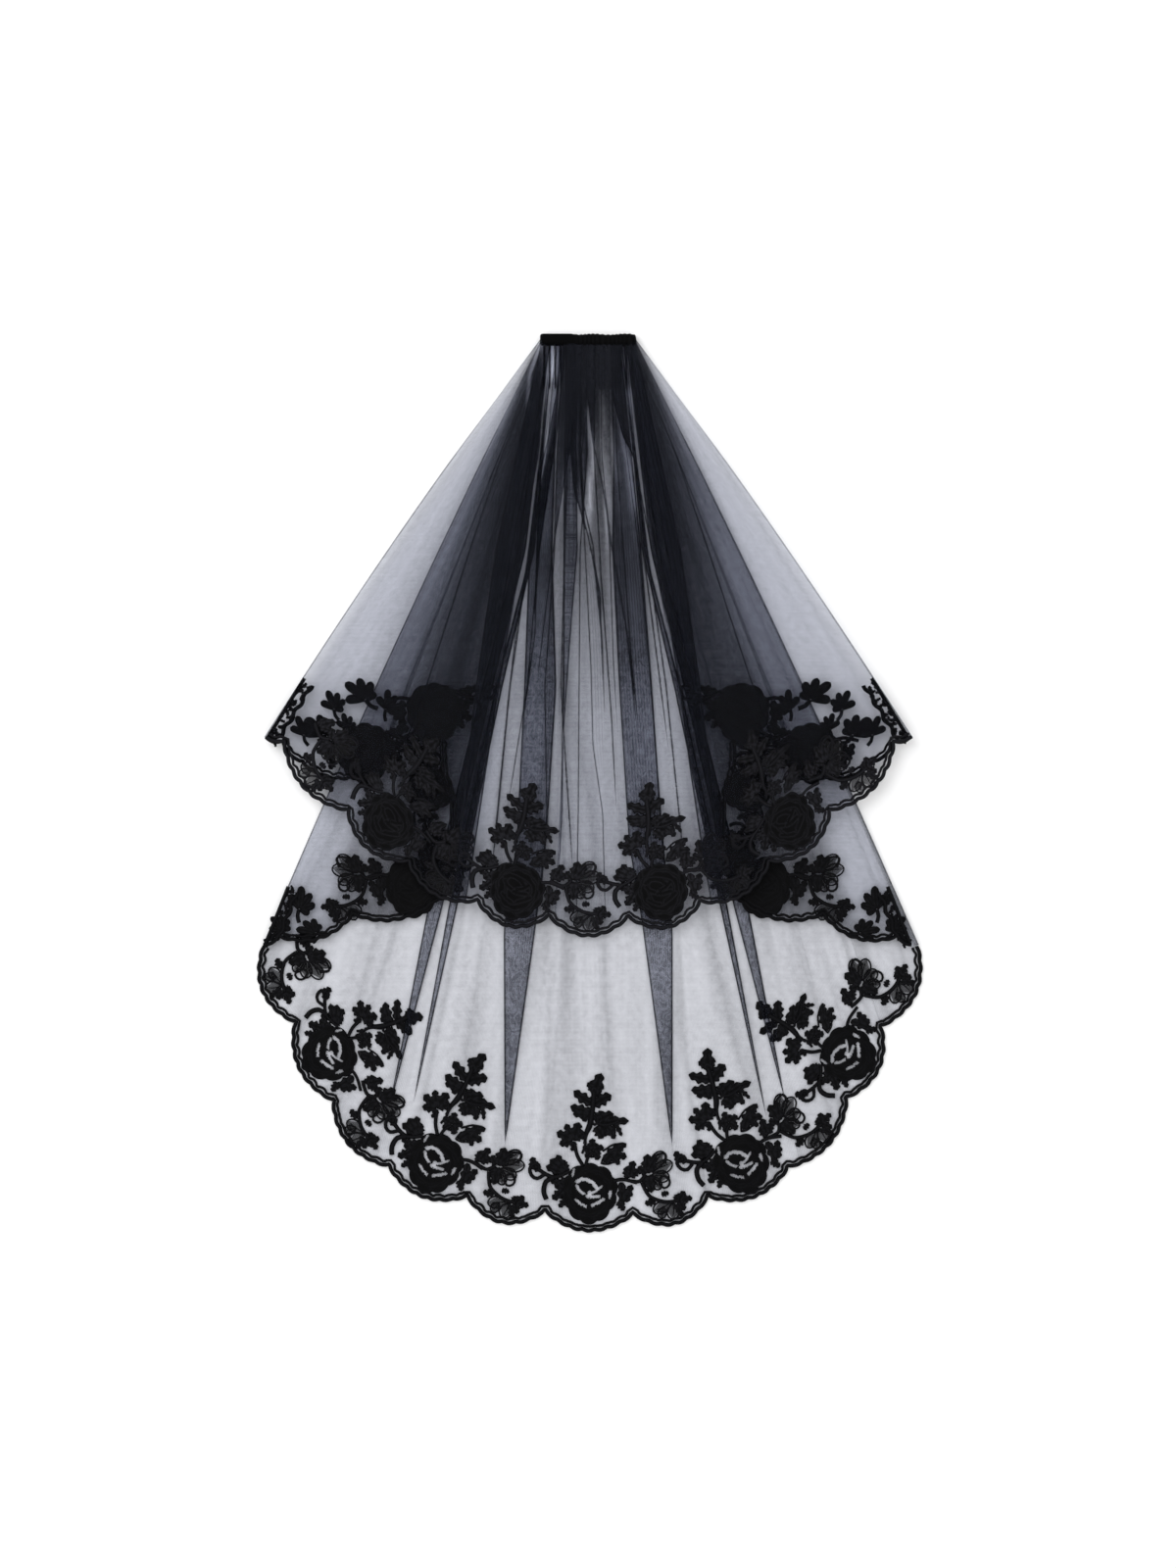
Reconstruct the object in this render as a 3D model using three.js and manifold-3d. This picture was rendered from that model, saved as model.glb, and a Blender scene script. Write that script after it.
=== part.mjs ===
// Black two-tier bridal veil of tulle with a scalloped lace edge, gathered on a small plastic hair comb.
// It lies flat, folded at the sides: x runs across, +y towards the comb, z up from the surface. Millimetres.
import * as THREE from "three";
import Module from "manifold-3d";

const solidKit = await Module();
solidKit.setup();
const { Manifold, Mesh: SolidMesh } = solidKit;

// Driving dimensions
const BAND_LENGTH = 98;
const BAND_DEPTH = 12;
const BAND_HEIGHT = 12;
const BAND_WALL = 1.2;
const BAND_LUMP = 0.5;
const SPINE_LENGTH = 93;
const SPINE_DEPTH = 6.5;
const SPINE_HEIGHT = 3;
const SPINE_BOTTOM = 1.6;
const TOOTH_COUNT = 17;
const TOOTH_PITCH = 5.6;
const TOOTH_WIDTH = 2.2;
const TOOTH_THICK = 1.5;
const TOOTH_TIP_Y = -50;
const TULLE_WALL = 1.0;
const HEAD_Y = 3;
const HEAD_SPREAD = 46;
const EDGE_HEAD_WIDTH = 9;
const EDGE_BULGE = 6;
const CORD_INSIDE = 5;
const CORD_OUTSIDE = 2;
const LACE_GAP = 0.6;
const LACE_THICK = 1.2;
const RELIEF = 0.8;
const STEM_WIDTH = 4;
const SCALLOP_STEPS = 4;
const FOLD_RAISE = 8;

// Rows down each sheet, as shares of the way from the comb to the hem
const ROWS = [0, 0.06, 0.15, 0.32, 0.54, 0.78, 1];

// Height of each layer's middle, under the band (head) and where it lies flat (rest).
// The top layer sinks to the middle height between the side folds.
const LAYERS = {
  lowerMain: { head: 5.4, rest: 0.5, middle: 0.5 },
  lowerFold: { head: 6.8, rest: 5.2, middle: 5.2 },
  upperBack: { head: 8.2, rest: 9.9, middle: 9.9 },
  upperTop: { head: 9.6, rest: 14.6, middle: 6.2 },
};
const LIFT_START = 52;
const LIFT_RUN = 90;
const INNER_FOLD_TOP = 52;
const INNER_FOLD_SLOPE = 0.148;
const SINK_RUN = 75;

// Hem cusps of each layer, left half, from the middle outwards; the right half mirrors them.
// bulge is how far the scallop that ends at this cusp swells below its chord.
const LOWER_MAIN_CUSPS = [
  { x: 45, y: -892, bulge: 0 },
  { x: 124, y: -876, bulge: 20 },
  { x: 204, y: -846, bulge: 17 },
  { x: 262, y: -777, bulge: 16 },
  { x: 299, y: -698, bulge: 17 },
  { x: 331, y: -618, bulge: 19 },
];
const LOWER_FOLD_CUSPS = [
  { x: 331, y: -618, bulge: 0 },
  { x: 240, y: -586, bulge: 14 },
  { x: 158, y: -574, bulge: 11 },
  { x: 131, y: -556, bulge: 4 },
];
const UPPER_BACK_CUSPS = [
  { x: 327, y: -406, bulge: 0 },
  { x: 240, y: -417, bulge: 8 },
  { x: 158, y: -404, bulge: 8 },
  { x: 140, y: -470, bulge: 4 },
  { x: 131, y: -548, bulge: 4 },
];
const UPPER_TOP_CUSPS = [
  { x: 41, y: -590, bulge: 0 },
  { x: 114, y: -574, bulge: 19 },
  { x: 184, y: -533, bulge: 16 },
  { x: 246, y: -481, bulge: 17 },
  { x: 311, y: -411, bulge: 17 },
  { x: 327, y: -406, bulge: 2 },
];
const MIDDLE_BULGE = 20;

// Pleats raised in a tier's open face: place across it (0 left, 1 right), height, and where the tip runs out.
const LOWER_PLEATS = [
  { across: 0.29, height: 2.4, tip: 0.72 },
  { across: 0.4, height: 2.6, tip: 0.74 },
  { across: 0.6, height: 2.6, tip: 0.74 },
  { across: 0.71, height: 2.4, tip: 0.72 },
];
const UPPER_PLEATS = [
  { across: 0.26, height: 3.5, tip: 0.72 },
  { across: 0.34, height: 4.5, tip: 0.74 },
  { across: 0.41, height: 4.0, tip: 0.7 },
  { across: 0.46, height: 2.5, tip: 0.72 },
  { across: 0.54, height: 2.5, tip: 0.72 },
  { across: 0.59, height: 4.0, tip: 0.7 },
  { across: 0.66, height: 4.5, tip: 0.74 },
  { across: 0.74, height: 3.5, tip: 0.72 },
];
const PLEAT_HALF_WIDTH = 0.021;

// The lace spray: along is measured along the hem from the rose, inward from the chord of its scallop
// towards the comb. Each leaf is a pointed lozenge that grows from its foot at the given angle.
const ROSE = { along: 0, inward: 22, radius: 27, notch: 22.5, petals: 8, boss: 15 };
const SPRAY_STEM = [
  { along: 0, inward: 40 },
  { along: -3, inward: 70 },
  { along: 0, inward: 100 },
  { along: 4, inward: 124 },
];
const BRANCH_STEM = [
  { along: 18, inward: 30 },
  { along: 44, inward: 34 },
  { along: 64, inward: 46 },
];
const SPRAY_LEAVES = [
  { along: -17, inward: 30, angle: 152, length: 42, width: 13 },
  { along: -3, inward: 62, angle: 152, length: 36, width: 15 },
  { along: -2, inward: 60, angle: 8, length: 38, width: 15 },
  { along: 0, inward: 84, angle: 20, length: 42, width: 15 },
  { along: 0, inward: 98, angle: 160, length: 26, width: 10 },
  { along: 0, inward: 106, angle: 128, length: 28, width: 11 },
  { along: 0, inward: 108, angle: 38, length: 26, width: 11 },
  { along: 3, inward: 118, angle: 80, length: 26, width: 12 },
];
const BRANCH_LEAVES = [
  { along: 42, inward: 34, angle: 75, length: 20, width: 12 },
  { along: 62, inward: 44.5, angle: 20, length: 22, width: 13 },
  { along: 62, inward: 44.5, angle: 92, length: 24, width: 13 },
  { along: 62, inward: 44.5, angle: 146, length: 22, width: 12 },
  { along: 62, inward: 44.5, angle: 285, length: 34, width: 13 },
];

// Small helpers
const lerp = (a, b, share) => a + (b - a) * share;
const clamp01 = (value) => Math.min(1, Math.max(0, value));
const smooth = (value) => {
  const t = clamp01(value);
  return t * t * (3 - 2 * t);
};

function finish(geometry, name, color, roughness) {
  const material = new THREE.MeshStandardMaterial({ color, roughness, metalness: 0 });
  const mesh = new THREE.Mesh(geometry, material);
  mesh.name = name;
  return mesh;
}

function signedVolume(positions, triangles) {
  let volume = 0;
  for (const [a, b, c] of triangles) {
    volume += positions[a].dot(positions[b].clone().cross(positions[c])) / 6;
  }
  return volume;
}

function indexedGeometry(positions, triangles) {
  const outward = signedVolume(positions, triangles) > 0;
  const index = triangles.flatMap(([a, b, c]) => (outward ? [a, b, c] : [a, c, b]));
  const geometry = new THREE.BufferGeometry();
  geometry.setAttribute("position", new THREE.Float32BufferAttribute(positions.flatMap((p) => [p.x, p.y, p.z]), 3));
  geometry.setIndex(index);
  geometry.computeVertexNormals();
  return geometry;
}

// Height of a layer's middle surface at a place
function layerHeight(layer, x, y) {
  const { head, rest, middle } = LAYERS[layer];
  const innerFold = INNER_FOLD_TOP - y * INNER_FOLD_SLOPE;
  const side = smooth((Math.abs(x) - innerFold + SINK_RUN) / (SINK_RUN - 6));
  const flat = lerp(middle, rest, side);
  return lerp(head, flat, smooth((-y - LIFT_START) / LIFT_RUN));
}

// Hem line of a half layer from its cusps: points along every scallop
function scallops(cusps) {
  const points = [{ x: cusps[0].x, y: cusps[0].y }];
  for (let i = 1; i < cusps.length; i += 1) {
    const from = cusps[i - 1];
    const to = cusps[i];
    const chord = Math.hypot(to.x - from.x, to.y - from.y);
    const out = { x: -(to.y - from.y) / chord, y: (to.x - from.x) / chord };
    const sign = out.y > 0 ? -1 : 1;
    const steps = to.bulge > 5 ? SCALLOP_STEPS : 2;
    for (let k = 1; k <= steps; k += 1) {
      const share = k / steps;
      const swell = to.bulge * Math.pow(Math.sin(Math.PI * share), 0.8) * sign;
      points.push({
        x: lerp(from.x, to.x, share) + (k < steps ? out.x * swell : 0),
        y: lerp(from.y, to.y, share) + (k < steps ? out.y * swell : 0),
      });
    }
  }
  return points;
}

function mirrored(points) {
  return points.map((p) => ({ x: -p.x, y: p.y }));
}

// Whole hem of an open face, left to right, with the middle scallop between the two halves
function faceHem(cusps) {
  const half = scallops(cusps);
  const middle = [];
  for (let k = 1; k < SCALLOP_STEPS; k += 1) {
    const share = k / SCALLOP_STEPS;
    middle.push({
      x: lerp(-cusps[0].x, cusps[0].x, share),
      y: cusps[0].y - MIDDLE_BULGE * Math.pow(Math.sin(Math.PI * share), 0.8),
    });
  }
  return [...mirrored(half).reverse(), ...middle, ...half];
}

function arcShares(points) {
  const lengths = [0];
  for (let i = 1; i < points.length; i += 1) {
    lengths.push(lengths[i - 1] + Math.hypot(points[i].x - points[i - 1].x, points[i].y - points[i - 1].y));
  }
  return lengths.map((length) => length / lengths[lengths.length - 1]);
}

function pleatHeight(pleats, across, row) {
  let height = 0;
  for (const pleat of pleats) {
    const near = 1 - Math.abs(across - pleat.across) / PLEAT_HALF_WIDTH;
    const grow = smooth((row - 0.06) / 0.12) * (1 - smooth((row - pleat.tip * 0.55) / (pleat.tip * 0.45)));
    height += Math.max(0, near) * pleat.height * grow;
  }
  return height;
}

// One column of a sheet: a line from the band to a point of the hem
function column(layer, head, hem, normalUp, pleats, across) {
  const outer = Math.pow(Math.abs(hem.x) / 330, 3) * Math.sign(hem.x);
  const points = ROWS.map((row) => {
    const x = lerp(head, hem.x, row) + outer * EDGE_BULGE * Math.sin(Math.PI * row);
    const y = lerp(HEAD_Y, hem.y, row);
    const z = layerHeight(layer, x, y) + pleatHeight(pleats, across, row);
    return new THREE.Vector3(x, y, z);
  });
  return { points, normals: ROWS.map(() => new THREE.Vector3(0, 0, normalUp)) };
}

// Round turn between a lower and an upper layer at an outside edge
function turn(lower, upper, side) {
  const columns = [];
  for (const angle of [-45, 0, 45]) {
    const turnAngle = THREE.MathUtils.degToRad(angle);
    const points = [];
    const normals = [];
    for (let r = 0; r < ROWS.length; r += 1) {
      const a = lower.points[r];
      const b = upper.points[r];
      const radius = (b.z - a.z) / 2;
      const next = lower.points[Math.min(r + 1, ROWS.length - 1)];
      const last = lower.points[Math.max(r - 1, 0)];
      const along = new THREE.Vector2(next.x - last.x, next.y - last.y).normalize();
      const out = new THREE.Vector2(-along.y, along.x);
      if (out.x * side < 0) {
        out.negate();
      }
      const reach = radius * Math.cos(turnAngle);
      points.push(new THREE.Vector3(a.x + out.x * reach, a.y + out.y * reach, a.z + radius * (1 + Math.sin(turnAngle))));
      normals.push(
        new THREE.Vector3(-out.x * Math.cos(turnAngle), -out.y * Math.cos(turnAngle), -Math.sin(turnAngle)),
      );
    }
    columns.push({ points, normals });
  }
  return columns;
}

// Closed cloth wall over a list of columns
function clothSolid(columns) {
  const rows = ROWS.length;
  const positions = [];
  for (const face of [1, -1]) {
    for (const { points, normals } of columns) {
      for (let r = 0; r < rows; r += 1) {
        positions.push(points[r].clone().addScaledVector(normals[r], (face * TULLE_WALL) / 2));
      }
    }
  }
  const at = (face, c, r) => face * columns.length * rows + c * rows + r;
  const triangles = [];
  const quad = (a, b, c, d) => triangles.push([a, b, c], [a, c, d]);
  for (let c = 0; c + 1 < columns.length; c += 1) {
    for (let r = 0; r + 1 < rows; r += 1) {
      quad(at(0, c, r), at(0, c, r + 1), at(0, c + 1, r + 1), at(0, c + 1, r));
      quad(at(1, c, r), at(1, c + 1, r), at(1, c + 1, r + 1), at(1, c, r + 1));
    }
    quad(at(0, c, rows - 1), at(1, c, rows - 1), at(1, c + 1, rows - 1), at(0, c + 1, rows - 1));
    quad(at(0, c, 0), at(0, c + 1, 0), at(1, c + 1, 0), at(1, c, 0));
  }
  const end = columns.length - 1;
  for (let r = 0; r + 1 < rows; r += 1) {
    quad(at(0, 0, r), at(1, 0, r), at(1, 0, r + 1), at(0, 0, r + 1));
    quad(at(0, end, r), at(0, end, r + 1), at(1, end, r + 1), at(1, end, r));
  }
  return indexedGeometry(positions, triangles);
}

// A tier: inner end of the left fold, round the left edge, across the open face, round the right edge, and back in
function tier(face, faceCusps, fold, foldCusps, foldOnTop, pleats) {
  const hem = faceHem(faceCusps);
  const shares = arcShares(hem);
  const faceNormal = foldOnTop ? 1 : -1;
  const main = hem.map((point, i) =>
    column(face, lerp(-HEAD_SPREAD, HEAD_SPREAD, shares[i]), point, faceNormal, pleats, shares[i]),
  );
  const foldHem = scallops(foldCusps);
  const foldShares = arcShares(foldHem);
  const foldSide = (side) =>
    foldHem.map((point, i) =>
      column(
        fold,
        side * (HEAD_SPREAD - EDGE_HEAD_WIDTH * foldShares[i]),
        { x: side * point.x, y: point.y },
        -faceNormal,
        [],
        0,
      ),
    );
  const left = foldSide(-1);
  const right = foldSide(1);
  const edgeTurn = (faceColumn, foldColumn, side) => {
    const low = foldOnTop ? faceColumn : foldColumn;
    const high = foldOnTop ? foldColumn : faceColumn;
    return turn(low, high, side);
  };
  const leftTurn = edgeTurn(main[0], left[0], -1);
  const rightTurn = edgeTurn(main[main.length - 1], right[0], 1);
  const intoLeft = foldOnTop ? leftTurn.slice().reverse() : leftTurn;
  const intoRight = foldOnTop ? rightTurn : rightTurn.slice().reverse();
  return clothSolid([...left.slice().reverse(), ...intoLeft, ...main, ...intoRight, ...right]);
}

// Scalloped edge cord on the upper side of a layer, along its hem
function edgeCord(layer, hem) {
  const stations = hem.map((point, i) => {
    const next = hem[Math.min(i + 1, hem.length - 1)];
    const last = hem[Math.max(i - 1, 0)];
    const along = new THREE.Vector2(next.x - last.x, next.y - last.y).normalize();
    const inward = new THREE.Vector2(-along.y, along.x);
    if (inward.dot(new THREE.Vector2(-point.x, -point.y)) < 0) {
      inward.negate();
    }
    const low = layerHeight(layer, point.x, point.y) + TULLE_WALL / 2 + LACE_GAP;
    const corner = (reach, up) =>
      new THREE.Vector3(point.x + inward.x * reach, point.y + inward.y * reach, low + up);
    return [
      corner(-CORD_OUTSIDE, 0),
      corner(CORD_INSIDE, 0),
      corner(CORD_INSIDE, LACE_THICK),
      corner(-CORD_OUTSIDE, LACE_THICK),
    ];
  });
  return loft(stations, SQUARE_CAPS);
}

// Closed solid through a row of equal loops; caps lists the triangles of an end in the loop's own order
function loft(stations, caps) {
  const sides = stations[0].length;
  const positions = stations.flat();
  const triangles = [];
  for (let s = 0; s + 1 < stations.length; s += 1) {
    for (let k = 0; k < sides; k += 1) {
      const a = s * sides + k;
      const b = s * sides + ((k + 1) % sides);
      triangles.push([a, b, b + sides], [a, b + sides, a + sides]);
    }
  }
  const end = (stations.length - 1) * sides;
  for (const [a, b, c] of caps) {
    triangles.push([c, b, a], [end + a, end + b, end + c]);
  }
  return indexedGeometry(positions, triangles);
}

const SQUARE_CAPS = [
  [0, 1, 2],
  [0, 2, 3],
];

// Fabric binding band: a folded channel over the comb's spine and the gathered heads, open towards the teeth
function bindingBand() {
  const stationCount = 19;
  const chamfer = 1.6;
  const stations = [];
  for (let s = 0; s < stationCount; s += 1) {
    const share = s / (stationCount - 1);
    const x = lerp(-BAND_LENGTH / 2, BAND_LENGTH / 2, share);
    const gathered = smooth((share - 0.3) / 0.1);
    const lump = BAND_LUMP * gathered * (s % 2 === 0 ? 1 : -1);
    const back = BAND_DEPTH / 2 + lump * 0.6;
    const top = BAND_HEIGHT + lump;
    const front = -BAND_DEPTH / 2;
    const outer = [
      [front, 0],
      [back - chamfer, 0],
      [back, chamfer],
      [back, top - chamfer],
      [back - chamfer, top],
      [front, top],
    ];
    const wall = BAND_WALL;
    const inner = [
      [front, wall],
      [BAND_DEPTH / 2 - chamfer, wall],
      [BAND_DEPTH / 2 - wall, chamfer + 0.4],
      [BAND_DEPTH / 2 - wall, BAND_HEIGHT - chamfer - 0.4],
      [BAND_DEPTH / 2 - chamfer, BAND_HEIGHT - wall],
      [front, BAND_HEIGHT - wall],
    ];
    stations.push([...outer, ...inner.reverse()].map(([y, z]) => new THREE.Vector3(x, y, z)));
  }
  const caps = [];
  for (let k = 0; k < 5; k += 1) {
    caps.push([k, k + 1, 10 - k], [k, 10 - k, 11 - k]);
  }
  return loft(stations, caps);
}

// Geometry to a solid for joining, and back
function toSolid(geometry) {
  const source = geometry.index ? geometry.toNonIndexed() : geometry;
  const place = source.getAttribute("position");
  const seen = new Map();
  const points = [];
  const triangles = [];
  for (let i = 0; i < place.count; i += 1) {
    const key = [place.getX(i), place.getY(i), place.getZ(i)].map((v) => Math.round(v * 1e4)).join();
    if (!seen.has(key)) {
      seen.set(key, points.length / 3);
      points.push(place.getX(i), place.getY(i), place.getZ(i));
    }
    triangles.push(seen.get(key));
  }
  return new Manifold(
    new SolidMesh({ numProp: 3, vertProperties: new Float32Array(points), triVerts: new Uint32Array(triangles) }),
  );
}

function fromSolid(solid, move) {
  const { vertProperties, triVerts } = solid.getMesh();
  const positions = [];
  for (let i = 0; i < vertProperties.length; i += 3) {
    positions.push(move(vertProperties[i], vertProperties[i + 1], vertProperties[i + 2]));
  }
  const triangles = [];
  for (let i = 0; i < triVerts.length; i += 3) {
    triangles.push([triVerts[i], triVerts[i + 1], triVerts[i + 2]]);
  }
  return indexedGeometry(positions, triangles);
}

function joined(geometries) {
  return geometries.map(toSolid).reduce((whole, piece) => whole.add(piece));
}

function plate(outline, thickness) {
  const shape = new THREE.Shape(outline.map(([a, b]) => new THREE.Vector2(a, b)));
  return new THREE.ExtrudeGeometry(shape, { depth: thickness, bevelEnabled: false });
}

// Comb: one plastic moulding, a straight spine with tapering teeth that dip to the surface
function comb() {
  const spine = new THREE.BoxGeometry(SPINE_LENGTH, SPINE_DEPTH, SPINE_HEIGHT);
  spine.translate(0, -0.7, SPINE_BOTTOM + SPINE_HEIGHT / 2);
  const side = [
    [-2, 1.9],
    [-30, 0.9],
    [TOOTH_TIP_Y, 0],
    [TOOTH_TIP_Y, 0.7],
    [-30, 0.9 + TOOTH_THICK],
    [-2, 1.9 + TOOTH_THICK],
  ];
  const pieces = [spine];
  for (let k = 0; k < TOOTH_COUNT; k += 1) {
    const tooth = plate(side, TOOTH_WIDTH);
    tooth.rotateZ(Math.PI / 2);
    tooth.rotateY(Math.PI / 2);
    tooth.translate((k - (TOOTH_COUNT - 1) / 2) * TOOTH_PITCH - TOOTH_WIDTH / 2, 0, 0);
    pieces.push(tooth);
  }
  return fromSolid(joined(pieces), (x, y, z) => new THREE.Vector3(x, y, z));
}

// Outlines of the lace pieces in the spray's own flat chart
function roseOutline(rose) {
  const outline = [];
  for (let k = 0; k < rose.petals * 2; k += 1) {
    const angle = (Math.PI * k) / rose.petals;
    const radius = k % 2 === 0 ? rose.radius : rose.notch;
    outline.push([rose.along + radius * Math.cos(angle), rose.inward + radius * Math.sin(angle)]);
  }
  return outline;
}

function bossOutline(rose) {
  const outline = [];
  for (let k = 0; k < rose.petals; k += 1) {
    const angle = (Math.PI * (k + 0.5) * 2) / rose.petals;
    outline.push([rose.along + rose.boss * Math.cos(angle), rose.inward + rose.boss * Math.sin(angle)]);
  }
  return outline;
}

function leafOutline(leaf) {
  const angle = THREE.MathUtils.degToRad(leaf.angle);
  const at = (reach, aside) => [
    leaf.along + reach * Math.cos(angle) - aside * Math.sin(angle),
    leaf.inward + reach * Math.sin(angle) + aside * Math.cos(angle),
  ];
  const { length, width } = leaf;
  return [at(0, 0), at(length * 0.55, -width / 2), at(length, 0), at(length * 0.55, width / 2)];
}

function stemOutline(stem) {
  const left = [];
  const right = [];
  stem.forEach((point, i) => {
    const next = stem[Math.min(i + 1, stem.length - 1)];
    const last = stem[Math.max(i - 1, 0)];
    const run = Math.hypot(next.along - last.along, next.inward - last.inward);
    const aside = [-(next.inward - last.inward) / run, (next.along - last.along) / run];
    const half = STEM_WIDTH / 2;
    left.push([point.along + aside[0] * half, point.inward + aside[1] * half]);
    right.unshift([point.along - aside[0] * half, point.inward - aside[1] * half]);
  });
  return [...right, ...left];
}

const raised = () => [
  plate(roseOutline(ROSE), LACE_THICK),
  plate(bossOutline(ROSE), LACE_THICK + RELIEF),
];
const spray = () => [
  plate(stemOutline(SPRAY_STEM), LACE_THICK),
  ...SPRAY_LEAVES.map((leaf) => plate(leafOutline(leaf), LACE_THICK)),
];
const branch = (leaves) => [
  plate(stemOutline(BRANCH_STEM), LACE_THICK),
  ...leaves.map((leaf) => plate(leafOutline(leaf), LACE_THICK)),
];
const upright = BRANCH_LEAVES.filter((leaf) => leaf.angle < 180);

// Lays a flat chart on a layer, from one cusp of a scallop to the other
function laid(layer, pieces, from, to, mirror, raise = 0) {
  const chord = Math.hypot(to.x - from.x, to.y - from.y);
  const along = { x: (to.x - from.x) / chord, y: (to.y - from.y) / chord };
  const inward = { x: -along.y, y: along.x };
  const middle = { x: (from.x + to.x) / 2, y: (from.y + to.y) / 2 };
  const hand = mirror ? -1 : 1;
  return fromSolid(joined(pieces), (a, b, up) => {
    const x = middle.x + along.x * a * hand + inward.x * (b + raise);
    const y = middle.y + along.y * a * hand + inward.y * (b + raise);
    const low = layerHeight(layer, x, y) + TULLE_WALL / 2 + LACE_GAP;
    return new THREE.Vector3(x, y, low + up);
  });
}

const flipX = (point) => ({ x: -point.x, y: point.y });

// Rose sprays of an open face, left to right; first is the index of the first rose scallop from the middle
function faceSprays(layer, cusps, roseScallops) {
  return roseScallops.map(([side, from, to]) => {
    const a = cusps[from];
    const b = cusps[to];
    const left = side < 0 ? flipX(b) : a;
    const right = side < 0 ? flipX(a) : b;
    return laid(layer, [...raised(), ...spray(), ...branch(BRANCH_LEAVES)], left, right, false);
  });
}

const LOWER_ROSE_SCALLOPS = [
  [-1, 3, 4],
  [-1, 1, 2],
  [1, 1, 2],
  [1, 3, 4],
];
const UPPER_ROSE_SCALLOPS = [
  [-1, 2, 3],
  [-1, 0, 1],
  [1, 0, 1],
  [1, 2, 3],
];

const veil = new THREE.Group();
veil.name = "lace_veil";
const INK = 0x1c1d20;
const NET = 0x2a2c31;
const LACE = 0x101114;

veil.add(finish(comb(), "comb", 0x0c0c0e, 0.35));
veil.add(finish(bindingBand(), "binding_band", INK, 0.8));
veil.add(
  finish(
    tier("lowerMain", LOWER_MAIN_CUSPS, "lowerFold", LOWER_FOLD_CUSPS, true, LOWER_PLEATS),
    "tulle_lower_tier",
    NET,
    0.85,
  ),
);
veil.add(
  finish(
    tier("upperTop", UPPER_TOP_CUSPS, "upperBack", UPPER_BACK_CUSPS, false, UPPER_PLEATS),
    "tulle_upper_tier",
    NET,
    0.85,
  ),
);

const cords = [
  ["edge_cord_lower_face", "lowerMain", faceHem(LOWER_MAIN_CUSPS)],
  ["edge_cord_lower_fold_left", "lowerFold", mirrored(scallops(LOWER_FOLD_CUSPS))],
  ["edge_cord_lower_fold_right", "lowerFold", scallops(LOWER_FOLD_CUSPS)],
  ["edge_cord_upper_back_left", "upperBack", mirrored(scallops(UPPER_BACK_CUSPS))],
  ["edge_cord_upper_back_right", "upperBack", scallops(UPPER_BACK_CUSPS)],
  ["edge_cord_upper_face", "upperTop", faceHem(UPPER_TOP_CUSPS)],
];
for (const [name, layer, hem] of cords) {
  veil.add(finish(edgeCord(layer, hem), name, LACE, 0.7));
}

faceSprays("lowerMain", LOWER_MAIN_CUSPS, LOWER_ROSE_SCALLOPS).forEach((geometry, i) => {
  veil.add(finish(geometry, `lace_spray_lower_${i + 1}`, LACE, 0.7));
});
const centre = LOWER_MAIN_CUSPS[0];
veil.add(
  finish(
    laid("lowerMain", [...raised(), ...spray(), ...branch(BRANCH_LEAVES)], flipX(centre), centre, false),
    "lace_spray_lower_centre",
    LACE,
    0.7,
  ),
);
faceSprays("upperTop", UPPER_TOP_CUSPS, UPPER_ROSE_SCALLOPS).forEach((geometry, i) => {
  veil.add(finish(geometry, `lace_spray_upper_${i + 1}`, LACE, 0.7));
});

// Sprays on the folded-back layers show their wrong side, so their chart is mirrored
const folded = [
  ["lower_fold", "lowerFold", LOWER_FOLD_CUSPS],
  ["upper_back", "upperBack", UPPER_BACK_CUSPS],
];
for (const [name, layer, cusps] of folded) {
  const [outer, inner] = [cusps[1], cusps[2]];
  const pieces = () => [...raised(), ...branch(upright)];
  veil.add(finish(laid(layer, pieces(), flipX(outer), flipX(inner), true, FOLD_RAISE), `lace_spray_${name}_left`, LACE, 0.7));
  veil.add(finish(laid(layer, pieces(), inner, outer, true, FOLD_RAISE), `lace_spray_${name}_right`, LACE, 0.7));
}

export default veil;
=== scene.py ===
import math

import bpy
import numpy as np
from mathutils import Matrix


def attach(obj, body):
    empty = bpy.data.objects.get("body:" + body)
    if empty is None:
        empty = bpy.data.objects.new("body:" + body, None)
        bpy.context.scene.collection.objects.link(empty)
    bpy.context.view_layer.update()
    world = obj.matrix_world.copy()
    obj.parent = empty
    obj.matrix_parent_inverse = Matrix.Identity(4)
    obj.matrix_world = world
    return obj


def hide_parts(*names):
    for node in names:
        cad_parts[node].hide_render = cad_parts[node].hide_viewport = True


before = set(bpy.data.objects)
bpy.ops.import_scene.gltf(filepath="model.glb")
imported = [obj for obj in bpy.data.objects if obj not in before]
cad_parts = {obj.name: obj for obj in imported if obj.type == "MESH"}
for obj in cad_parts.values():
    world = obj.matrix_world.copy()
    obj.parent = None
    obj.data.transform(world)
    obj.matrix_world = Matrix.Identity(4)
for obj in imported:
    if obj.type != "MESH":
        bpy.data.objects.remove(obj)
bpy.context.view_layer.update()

scene = bpy.context.scene

# Places are written in millimetres: x across, down from the middle of the band towards the hem.
MM = 0.001
HEAD_DOWN = -3.0
HEAD_SPREAD = 46.0
EDGE_HEAD_WIDTH = 9.0
EDGE_BULGE = 6.0
INNER_BULGE = 8.0
INNER_DENSITY = 1.3
# Rows from the band to the hem, closer together near the band
ROW_COUNT = 80
V = np.linspace(0.0, 1.0, ROW_COUNT) ** 1.2

# Height of each layer's middle under the band, at its flat sides, and between the side folds
LAYERS = {
    "lower_face": (5.4, 0.5, 0.5),
    "lower_fold": (6.8, 5.2, 5.2),
    "upper_back": (8.2, 9.9, 9.9),
    "upper_face": (9.6, 14.6, 6.2),
}
LIFT_START = 52.0
LIFT_RUN = 90.0
INNER_FOLD_TOP = 52.0
INNER_FOLD_SLOPE = 0.148
SINK_RUN = 75.0

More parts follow.
